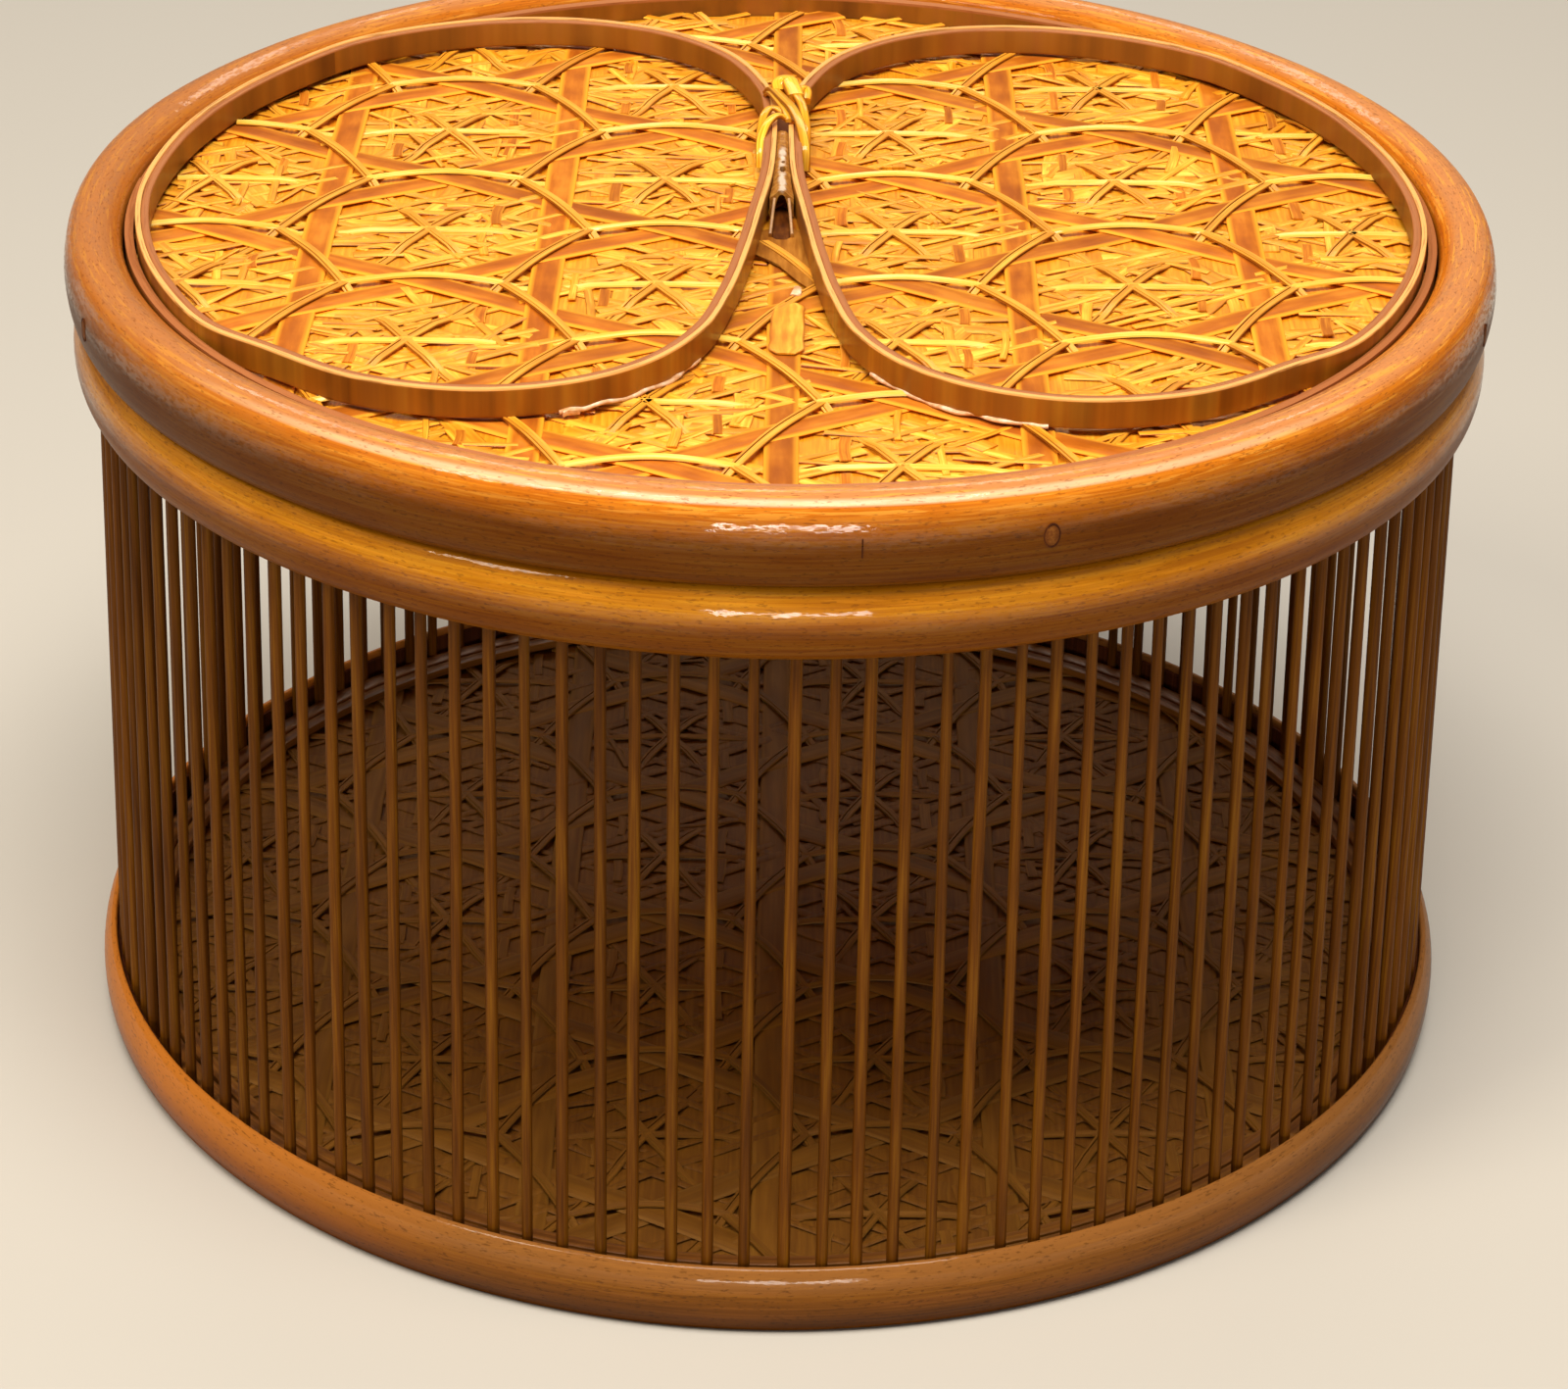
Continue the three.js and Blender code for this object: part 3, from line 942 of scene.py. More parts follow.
WALL_ROD = Finish(
    # Thin round rods drawn through a gauge: straight fine fibres, each rod its own shade; their dark brown is partly
    # painted shade under the lid's overhang
    "drawn_bamboo_rod",
    "rod",
    Grain.UPRIGHT,
    ("#482504", "#5E3406", "#74480A"),
    tone_spread=0.16,
    fibre_width=0.35 * MM,
    fibre_length=30 * MM,
    roughness=0.6,
    coat=0.08,
    coat_roughness=0.15,
    specular=0.05,
)
LID_GROUND = Finish(
    # The closed second layer of the panel: golden shaved bamboo with fine fibres
    "golden_shaved_bamboo",
    "weave",
    Grain.FRONT_TO_BACK,
    ("#C07006", "#E09012", "#F0B02C"),
    fibre_width=0.5 * MM,
    fibre_length=12 * MM,
    roughness=0.5,
    coat=0.1,
    bump=0.5,
)
LID_SLAT = Finish(
    # Broad slats with their brown skin kept, fading into golden shaved edges
    "skin_side_bamboo_slat",
    "weave",
    Grain.ALONG_STRIP,
    ("#A05008", "#B8640E", "#D07E1E"),
    edge_colour="#F4A428",
    edge_start=0.6,
    edge_blend=0.3,
    tone_spread=0.1,
    fibre_width=0.7 * MM,
    fibre_length=9 * MM,
    roughness=0.6,
    coat=0.04,
    specular=0.2,
)
LID_RING_STRIP = Finish(
    # Thin bright strips of inner bamboo with a shiny cut face
    "bright_inner_bamboo_strip",
    "weave",
    Grain.ALONG_STRIP,
    ("#F0A82C", "#FAC64C", "#FFE48C"),
    tone_spread=0.1,
    fibre_width=0.3 * MM,
    fibre_length=15 * MM,
    roughness=0.3,
    coat=0.5,
)
LID_SIDE_STRIP = Finish(
    # The same thin strips with brown edges, laid the other two ways
    "brown_edged_bamboo_strip",
    "weave",
    Grain.ALONG_STRIP,
    ("#C87C16", "#E69A26", "#F6B440"),
    edge_colour="#8E4E0A",
    edge_start=0.8,
    edge_blend=0.15,
    tone_spread=0.1,
    fibre_width=0.3 * MM,
    fibre_length=15 * MM,
    roughness=0.42,
    coat=0.2,
)
LID_SLIVER = Finish(
    # Flat slivers pushed in between the slats, straw yellow to orange, with brown cut edges
    "golden_bamboo_sliver",
    "weave",
    Grain.ALONG_STRIP,
    ("#D67E10", "#EEA022", "#FACA48"),
    edge_colour="#B8690E",
    edge_start=0.84,
    edge_blend=0.12,
    tone_spread=0.2,
    fibre_width=0.35 * MM,
    fibre_length=8 * MM,
    roughness=0.45,
    coat=0.15,
)
BROWN_SLIVER = Finish(
    # Slivers with their skin side up, reddish brown
    "brown_bamboo_sliver",
    "weave",
    Grain.ALONG_STRIP,
    ("#A4560A", "#C06C12", "#DA8A22"),
    edge_colour="#EEA030",
    edge_start=0.75,
    edge_blend=0.2,
    tone_spread=0.15,
    fibre_width=0.35 * MM,
    fibre_length=8 * MM,
    roughness=0.6,
    coat=0.04,
    specular=0.2,
)
RIBBON_OUTSIDE = Finish(
    # Outer layer of the standing ribbons: golden brown face, bright yellow cut edge on top
    "golden_brown_bamboo_ribbon",
    "ribbon",
    Grain.ALONG_STRIP,
    ("#6E3C08", "#A05E10", "#C88A24"),
    sheen_colour="#5E320A",
    sheen_share=0.6,
    top_colour="#F2B262",
    top_start=0.84,
    flake_colour="#8A5216",
    flake_share=0.65,
    fibre_width=0.5 * MM,
    fibre_length=5 * MM,
    roughness=0.45,
    coat=0.25,
)
RIBBON_INSIDE = Finish(
    # Inner layer of the standing ribbons: duller brown face and a rosy cut edge
    "rosy_brown_bamboo_ribbon",
    "ribbon",
    Grain.ALONG_STRIP,
    ("#6A3C0A", "#945A12", "#BC7E24"),
    sheen_colour="#5E320C",
    sheen_share=0.55,
    top_colour="#AC6A3A",
    top_start=0.84,
    flake_colour="#8A4A1C",
    flake_share=0.5,
    fibre_width=0.5 * MM,
    fibre_length=9 * MM,
    roughness=0.5,
    coat=0.1,
)
LASHING_CANE = Finish(
    # Shiny flat cane: orange brown where it bends, straw yellow where the skin is fresh
    "shiny_flat_cane",
    "cane",
    Grain.ALONG_STRIP,
    ("#C07410", "#E8A020", "#FCD048"),
    edge_colour="#A05808",
    edge_start=0.7,
    edge_blend=0.25,
    tone_spread=0.25,
    fibre_width=0.3 * MM,
    fibre_length=20 * MM,
    roughness=0.35,
    coat=0.6,
    coat_roughness=0.1,
    specular=0.1,
)
FILLER = Finish(
    # Pale filler, scraped smooth, with a little dust
    "pale_wood_filler",
    "filler",
    Grain.FRONT_TO_BACK,
    ("#8A561C", "#A86E28", "#C08C3E"),
    top_colour="#D2BCA4",
    top_start=0.1,
    top_blend=0.55,
    fibre_width=0.6 * MM,
    fibre_length=0.9 * MM,
    roughness=0.5,
    coat=0.3,
)
DRIED_GLUE = Finish(
    # Milky glue squeezed out along the ribbons' feet: pinkish white, lumpy and a little shiny
    "dried_milky_glue",
    "filler",
    Grain.FRONT_TO_BACK,
    ("#C88C54", "#E8BC90", "#FCE6CC"),
    fibre_width=1.5 * MM,
    fibre_length=1.5 * MM,
    roughness=0.35,
    coat=0.4,
)
BROWN_GLUE = Finish(
    # Brown glue spread over the middle slat in front of the filler: smooth, streaked, dull
    "brown_glue_film",
    "filler",
    Grain.FRONT_TO_BACK,
    ("#80480E", "#9A5E18", "#B87A2C"),
    fibre_width=0.8 * MM,
    fibre_length=9 * MM,
    roughness=0.65,
    coat=0.0,
    specular=0.1,
)
PAINTED_SHADOW_BROWN = Finish(
    # A reddish dark brown patch on the middle slat, under and before the filler's arch: painted shadow of the arch
    "painted_shadow_dark_brown",
    "filler",
    Grain.FRONT_TO_BACK,
    ("#3E1C06", "#52280A", "#6A3A10"),
    fibre_width=0.8 * MM,
    fibre_length=3 * MM,
    roughness=0.6,
    coat=0.05,
    specular=0.05,
)
FLOOR_GROUND = Finish(
    # The floor's closed layer under dark varnish, made darker still as painted shade of the basket's inside
    "dark_shaved_bamboo",
    "floor",
    Grain.FRONT_TO_BACK,
    ("#6A3E06", "#784A0A", "#865610"),
    fibre_width=0.6 * MM,
    fibre_length=12 * MM,
    roughness=0.65,
    coat=0.0,
    bump=0.1,
)
FLOOR_SLAT = Finish(
    # The floor's slats under dark varnish, made darker still as painted shade of the basket's inside
    "dark_bamboo_slat",
    "floor",
    Grain.ALONG_STRIP,
    ("#6E4208", "#7C4E0C", "#8A5A14"),
    edge_colour="#865814",
    tone_spread=0.06,
    fibre_width=0.4 * MM,
    fibre_length=20 * MM,
    roughness=0.65,
    coat=0.0,
    bump=0.1,
)


# Hoops


# Sections of the three visible hoops: shares of the width from the inside, of the height from the bottom
HALF_ROUND = (
    (0.0, 0.06), (0.0, 0.5), (0.0, 0.94), (0.22, 1.0), (0.5, 0.955), (0.78, 0.83), (0.95, 0.66),
    (1.0, 0.48), (0.95, 0.3), (0.78, 0.14), (0.5, 0.035), (0.22, 0.0),
)
WORN_TOP_ROUND = (
    (0.04, 0.128), (0.0, 0.479), (0.01, 0.766), (0.11, 0.883), (0.32, 0.973), (0.5, 1.0), (0.7, 0.973),
    (0.845, 0.904), (0.935, 0.777), (1.0, 0.532), (0.985, 0.3), (0.92, 0.12), (0.76, 0.01), (0.42, 0.0),
    (0.18, 0.021),
)


@dataclass
class BentHoop:
    """A strip of bamboo bent into a hoop."""

    name: str
    body: str
    finish: Finish
    inside: float
    outside: float
    bottom: float
    top: float
    outer: float = 0.3
    inner: float = 0.2
    points: int = 20
    steps: int = 200
    wobble: float = 0.12 * MM
    replaces: tuple[str, ...] = ()
    shape: tuple[tuple[float, float], ...] = ()

    def build(self) -> bpy.types.Object:
        """Builds the hoop and dresses it."""
        piece = Piece(self.name)
        if self.shape:
            # Each knot is a share of the width from the inside and of the height from the bottom
            width, height = self.outside - self.inside, self.top - self.bottom
            section: Section | Outline = Outline(
                tuple((self.inside + width * out, self.bottom + height * up) for out, up in self.shape),
                self.points,
            )
            middle, level = section.middle
        else:
            section = Section(
                self.outside - self.inside, self.top - self.bottom, self.points, self.outer, self.inner
            )
            middle, level = (self.inside + self.outside) / 2, (self.bottom + self.top) / 2
        piece.revolve(section, middle, level, self.steps)
        piece.roughen(self.wobble, 45 * MM, len(self.name))
        return piece.finish(self.finish, self.body, self.replaces)


@dataclass
class RodWall:
    """The ring of thin upright rods, with the inner base hoop that carries them."""

    count: int = 124
    foot_radius: float = 112.75 * MM
    head_radius: float = 109.75 * MM
    foot: float = 0.6 * MM
    sides: int = 10
    seed: int = 11
    hoop_width: float = 3.7 * MM
    hoop_height: float = 7.6 * MM

    @property
    def hoop_outside(self) -> float:
        """Outer radius of the inner base hoop, with the rods sunk a little into it."""
        return self.foot_radius - ROD_DIAMETER / 2 + 0.35 * MM

    @property
    def hoop_inside(self) -> float:
        """Inner radius of the inner base hoop."""
        return self.hoop_outside - self.hoop_width

    def build(self) -> None:
        """Builds the rods and their hoop."""
        wall = Span.of("rod_wall")
        rng = random.Random(self.seed)
        piece = Piece("wall_rods")
        bm = piece.mesh
        tone_layer = bm.verts.layers.float["Tone"]
        rise = wall.top - self.foot
        for index in range(self.count):
            angle = (index + 0.5) / self.count * 2 * math.pi + rng.gauss(0, 0.0022)
            radius = ROD_DIAMETER / 2 * rng.uniform(0.86, 1.0)
            made = bmesh.ops.create_cone(
                bm,
                cap_ends=True,
                segments=self.sides,
                radius1=radius,
                radius2=radius * rng.uniform(0.92, 1.0),
                depth=rise,
            )
            lean = Matrix.Identity(4)
            lean[0][2] = (self.head_radius - self.foot_radius) / rise + rng.gauss(0, 0.0008)
            lean[1][2] = rng.gauss(0, 0.0022)
            middle = (self.foot_radius + self.head_radius) / 2
            place = Matrix.Translation((middle, 0, self.foot + rise / 2))
            bmesh.ops.transform(
                bm, matrix=Matrix.Rotation(angle, 4, "Z") @ place @ lean, verts=made["verts"]
            )
            tone = rng.random()
            for vert in made["verts"]:
                vert[tone_layer] = tone
        piece.finish(WALL_ROD, "basket", ["rod_wall"])
        BentHoop(
            "inner_base_hoop",
            "basket",
            INNER_HOOP,
            self.hoop_inside,
            self.hoop_outside,
            wall.bottom,
            wall.bottom + self.hoop_height,
        ).build()
        # A dark ring in the slot between the base hoops, behind the rods: painted shadow
        slot_outside = self.foot_radius + ROD_DIAMETER / 2
        BentHoop(
            "slot_dirt",
            "basket",
            DARK_SEAM_AND_SHADOW,
            slot_outside - 0.5 * MM,
            slot_outside + 0.05 * MM,
            wall.bottom + 5 * MM,
            wall.bottom + 10.2 * MM,
            points=8,
            wobble=0.0,
        ).build()


# Woven panels


@dataclass(frozen=True)
class Lattice:
    """The six-eye pattern. Cells repeat by the column step and by the row step."""

    column: Vector = field(default_factory=lambda: Vector((37.3, -20.9, 0)) * MM)
    row: Vector = field(default_factory=lambda: Vector((0, 44.3, 0)) * MM)
    crossing: Vector = field(default_factory=lambda: Vector((19.2, 20.3, 0)) * MM)

    @property
    def cell(self) -> Vector:
        """Centre of the cell in front of the crossing."""
        return self.crossing - self.row / 2

    def cells(self, radius: float) -> list[Vector]:
        """Lists the centres of the cells that touch a disc about the axis."""
        spots = [self.cell + self.column * right + self.row * back for right in range(-6, 7) for back in range(-9, 10)]
        return [spot for spot in spots if spot.length < radius + self.row.length / 2]

    def families(self) -> list[tuple[Vector, Vector, Vector]]:
        """Lists a start, the direction and the step to the next line, for each way the slats run."""
        return [
            (self.crossing + self.column / 2, self.row, self.column),
            (self.crossing, self.column, self.row),
            (self.crossing, self.column + self.row, self.row),
        ]


class RingFamily(Enum):
    """Directions of the thin curved strips, as steps of the lattice."""

    LEVEL = ((2, 1), (1, 0))
    RISING = ((1, 2), (0, 1))
    FALLING = ((-1, 1), (0, 1))

    def steps(self, lattice: Lattice) -> tuple[Vector, Vector]:
        """Gives the step along a strip and the step to the next strip."""
        (right, back), (next_right, next_back) = self.value
        along = lattice.column * right + lattice.row * back
        beside = lattice.column * next_right + lattice.row * next_back
        return along, beside


@dataclass(frozen=True)
class PanelFinishes:
    """Finishes of a woven panel's layers."""

    ground: Finish
    slat: Finish
    ring: Finish
    side_ring: Finish
    sliver: Finish
    brown_sliver: Finish


def between(knots: Iterable[tuple[float, float]], place: float) -> float:
    """Reads a value between listed places.

    Args:
        knots: Places in rising order, each with its value.
        place: Where the value is wanted.

    Returns:
        The value there.
    """
    knots = list(knots)
    for (start, low), (end, high) in zip(knots, knots[1:]):
        if place <= end:
            part = max(0.0, (place - start) / (end - start))
            return low + (high - low) * (3 - 2 * part) * part**2
    return knots[-1][1]


# Height of the thin strips over the panel's top in millimetres, from a cell's centre to the next arch
LEVEL_HEIGHTS = ((0.0, -0.2), (0.13, -0.3), (0.205, -1.0), (0.295, -1.0), (0.335, 0.1), (0.5, 0.4))
SIDE_HEIGHTS = ((0.0, -0.1), (0.09, -0.12), (0.16, -0.9), (0.28, -0.9), (0.34, 0.05), (0.5, 0.3))


@dataclass
class SixEyePanel:
    """A round panel in the six-eye weave.

    Broad slats run in three directions. Thin curved strips dip through the cells and arch over the
    slats' crossings, and flat slivers fill the cells.
    """

    prefix: str
    body: str
    radius: float
    bottom: float
    top: float
    finishes: PanelFinishes
    node: str
    seed: int = 5
    chips: int = 40
    slat_width: float = 5.1 * MM
    slat_thickness: float = 0.5 * MM
    arch: float = 2.5 * MM
    side_arch: float = 0.7 * MM
    lattice: Lattice = field(default_factory=Lattice)

    @property
    def ground_top(self) -> float:
        """Height of the closed ground between the slats."""
        return self.top - 1.0 * MM

    def build(self) -> None:
        """Builds the panel's layers."""
        rng = random.Random(self.seed)
        self.build_ground()
        self.build_slats(rng)
        self.build_slivers(rng)
        self.build_chips(rng)
        self.build_brown_slivers(rng)
        self.build_rings(rng)

    def build_ground(self) -> None:
        """Builds the closed layer under the weave."""
        BentHoop(
            f"{self.prefix}_ground",
            self.body,
            self.finishes.ground,
            0.0,
            self.radius,
            self.bottom,
            self.ground_top,
            outer=0.1,
            inner=0.1,
            points=8,
            steps=120,
            wobble=0.0,
            replaces=(self.node,),
        ).build()

    def clip(self, start: Vector, along: Vector) -> tuple[float, float] | None:
        """Finds where a straight line crosses the panel's edge.

        Args:
            start: A point on the line.
            along: The line's direction, of length 1.

        Returns:
            The distances from the start to the two crossings, or None if it misses the panel.
        """
        flat = Vector((start.x, start.y, 0))
        middle = -flat.dot(along)
        offset = (flat + along * middle).length
        if offset > self.radius - 2 * MM:
            return None
        half = math.sqrt(self.radius**2 - offset**2)
        return middle - half, middle + half

    def straight(
        self,
        piece: Piece,
        start: Vector,
        direction: Vector,
        section: Section,
        level: Callable[[float], float],
        tone: float,
        sway: float = 0.0,
    ) -> None:
        """Lays one long straight strip from edge to edge of the panel.

        Args:
            piece: The piece that it belongs to.
            start: A point on its middle line.
            direction: Its direction.
            section: Its cross-section.
            level: Gives its height at a distance along it.
            tone: How light it is.
            sway: How far it wanders sideways.
        """
        along = direction.normalized()
        ends = self.clip(start, along)
        if ends is None:
            return
        first, last = ends
        side = Vector((-along.y, along.x, 0))

        def path(share: float) -> Vector:
            """Gives the strip's middle line."""
            distance = first + (last - first) * share
            spot = Vector((start.x, start.y, 0)) + along * distance
            spot += side * unevenness(spot, sway, 25 * MM, tone * 40)
            spot.z = level(distance)
            return spot

        steps = max(4, round((last - first) / (3 * MM)))
        piece.sweep(path, steps, section, tone)

    def build_slats(self, rng: random.Random) -> None:
        """Builds the broad slats, which pass over and under each other in turn."""
        piece = Piece(f"{self.prefix}_slats")
        section = Section(self.slat_width, self.slat_thickness, 8, 0.25, 0.25)
        base = self.ground_top + 0.45 * MM
        weave = 0.22 * MM
        phases = (0.0, math.pi / 2, -math.pi / 2)
        for (start, direction, beside), phase in zip(self.lattice.families(), phases):
            for index in range(-7, 8):
                pitch = direction.length / 2

                def level(distance: float, pitch: float = pitch, phase: float = phase) -> float:
                    """Gives the slat's height as it goes over and under."""
                    return base + weave * math.sin(math.pi * distance / pitch + phase)

                self.straight(piece, start + beside * index, direction, section, level, rng.random(), 0.3 * MM)
        piece.close_ends()
        piece.finish(self.finishes.slat, self.body)

    def build_slivers(self, rng: random.Random) -> None:
        """Builds the long narrow slivers that cross the cells between the slats."""
        piece = Piece(f"{self.prefix}_slivers")
        for family, (start, direction, beside) in enumerate(self.lattice.families()):
            if not family:
                continue
            for index in range(-7, 8):
                for share in (0.22, 0.36, 0.64, 0.78):
                    section = Section(rng.uniform(1.2, 2.2) * MM, 0.3 * MM, 6)
                    spot = start + beside * (index + share + rng.uniform(-0.03, 0.03))
                    height = self.ground_top + (0.12 + 0.1 * family) * MM
                    phase = rng.uniform(0, math.pi)

                    def level(distance: float, height: float = height, phase: float = phase) -> float:
                        """Gives the sliver's height as it dips in and out."""
                        return height + 0.14 * MM * math.sin(distance / (3.6 * MM) + phase)

                    self.straight(piece, spot, direction, section, level, rng.random(), 0.5 * MM)
        piece.close_ends()
        piece.finish(self.finishes.sliver, self.body)

    def lay_chip(
        self,
        piece: Piece,
        rng: random.Random,
        spot: Vector,
        heading: float,
        length: float,
        width: float,
        height: float,
    ) -> None:
        """Lays one short flat sliver, a little bent and sloping, unless it would pass the panel's edge.

        Args:
            piece: The piece that it belongs to.
            rng: Source of its small differences.
            spot: Its middle.
            heading: Its direction in degrees from the right.
            length: Its length.
            width: Its width.
            height: Height of its middle over the closed ground.
        """
        turn = math.radians(heading)
        along = Vector((math.cos(turn), math.sin(turn), 0))
        side = Vector((-along.y, along.x, 0))
        slope = rng.uniform(-0.14, 0.14) * MM
        bend = rng.uniform(-0.35, 0.35) * MM
        ends = [(spot + along * (length / 2 * sign)).length for sign in (-1, 1)]
        if max(ends) > self.radius - width / 2:
            return

        def path(share: float) -> Vector:
            """Gives the sliver's middle line."""
            place = spot + along * (length * (share - 0.5)) + side * (bend * 4 * share * (1 - share))
            place.z = self.ground_top + height + slope * (2 * share - 1)
            return place

        lean = rng.uniform(-0.1, 0.1)
        piece.sweep(path, 3, Section(width, 0.24 * MM, 6), rng.random(), tilt=lambda share: lean)

    def build_chips(self, rng: random.Random) -> None:
        """Builds the flat slivers that fill the cells."""
        piece = Piece(f"{self.prefix}_chips")
        headings = (0, 8, -8, 30, -30, 35, -35, 62, -62, 90)
        for cell in self.lattice.cells(self.radius):
            for index in range(self.chips):
                low = index < self.chips * 0.6
                reach = 15.5 * MM * math.sqrt(rng.random())
                turn = rng.uniform(0, 2 * math.pi)
                spot = cell + Vector((reach * math.cos(turn), reach * math.sin(turn), 0))
                width = rng.uniform(2.0, 3.8) if low else rng.uniform(0.9, 1.8)
                room = 18.5 * MM - reach
                length = min(rng.uniform(8, 17) * MM, 2 * room + 4 * MM)
                height = rng.uniform(0.1, 0.26) if low else rng.uniform(0.3, 0.52)
                heading = rng.choice(headings) + rng.gauss(0, 4)
                self.lay_chip(piece, rng, spot, heading, length, width * MM, height * MM)
        piece.close_ends()
        piece.finish(self.finishes.sliver, self.body)

    def build_brown_slivers(self, rng: random.Random) -> None:
        """Builds the short brown pieces that stand out beside each cell's centre."""
        piece = Piece(f"{self.prefix}_brown_slivers")
        for cell in self.lattice.cells(self.radius):
            for right in (-1, 1):
                for back in (-1, 1):
                    if rng.random() < 0.2:
                        continue
                    spot = cell + Vector((right * 9.3, back * rng.uniform(5, 10), 0)) * MM
                    length, width = rng.uniform(5, 9), rng.uniform(1.4, 2.0)
                    self.lay_chip(piece, rng, spot, 90 + rng.gauss(0, 2), length * MM, width * MM, 0.42 * MM)
        piece.close_ends()
        piece.finish(self.finishes.brown_sliver, self.body)

    def ring_point(self, family: RingFamily, start: Vector, share: float) -> Vector:
        """Gives a point of a thin curved strip.

        Args:
            family: The strip's direction.
            start: A cell centre on the strip.
            share: How many cells along it the point is.

        Returns:
            The point, at height 0.
        """
        along, _ = family.steps(self.lattice)
        at_cell = Vector((-1.2, -1.0, 0)) * MM
        at_centroid = Vector((-0.3, -1.5, 0)) * MM
        part = share % 1.0
        nearness = min(part, 1 - part) * 3
        if nearness < 1:
            shift = at_cell.lerp(at_centroid, nearness)
        else:
            away = (part - 0.5) * 6
            outwards = Vector((-along.y, along.x, 0)).normalized()
            if outwards.y < 0:
                outwards.negate()
            lift = self.arch if family is RingFamily.LEVEL else self.side_arch
            shift = at_centroid + outwards * lift * (1 - away**2)
        return start + along * share + shift

    def build_rings(self, rng: random.Random) -> None:
        """Builds the thin curved strips that draw a ring round each cell."""
        bright = Piece(f"{self.prefix}_ring_strips")
        brown = Piece(f"{self.prefix}_side_strips")
        for family in RingFamily:
            _, beside = family.steps(self.lattice)
            level_family = family is RingFamily.LEVEL
            # Offset from the middle line and width, in millimetres
            lines = ((0.0, 1.3),) if level_family else ((-0.2, 1.25), (0.73, 0.45))
            for index in range(-9, 10):
                start = self.lattice.cell + beside * index
                shares = [
                    count / 24
                    for count in range(-24 * 5, 24 * 5 + 1)
                    if self.ring_point(family, start, count / 24).length < self.radius - 0.6 * MM
                ]
                if len(shares) < 3:
                    continue
                for offset, width in lines:
                    section = Section(width * MM, 0.42 * MM, 6, 0.4, 0.4)
                    piece = bright if level_family else brown
                    self.lay_ring(piece, family, start, (shares[0], shares[-1]), offset * MM, section, rng.random())
        bright.close_ends()
        bright.finish(self.finishes.ring, self.body)
        brown.close_ends()
        brown.finish(self.finishes.side_ring, self.body)

    def lay_ring(
        self,
        piece: Piece,
        family: RingFamily,
        start: Vector,
        ends: tuple[float, float],
        offset: float,
        section: Section,
        tone: float,
    ) -> None:
        """Lays one thin curved strip.

        Args:
            piece: The piece that it belongs to.
            family: Its direction.
            start: A cell centre on it.
            ends: How many cells from the start its two ends are.
            offset: How far beside the middle line it lies.
            section: Its cross-section.
            tone: How light it is.
        """
        first, last = ends
        along, _ = family.steps(self.lattice)
        beside = Vector((-along.y, along.x, 0)).normalized()
        heights = LEVEL_HEIGHTS if family is RingFamily.LEVEL else SIDE_HEIGHTS

        def path(share: float) -> Vector:
            """Gives the strip's middle line."""
            place = first + (last - first) * share
            spot = self.ring_point(family, start, place) + beside * offset
            part = place % 1.0
            spot.z = self.top + between(heights, min(part, 1 - part)) * MM
            return spot

        steps = max(6, round((last - first) * 36))
        tilt = 0.3 if family is RingFamily.LEVEL else 0.0
        piece.sweep(path, steps, section, tone, tilt=lambda share: tilt)


# Ribbons and lashing


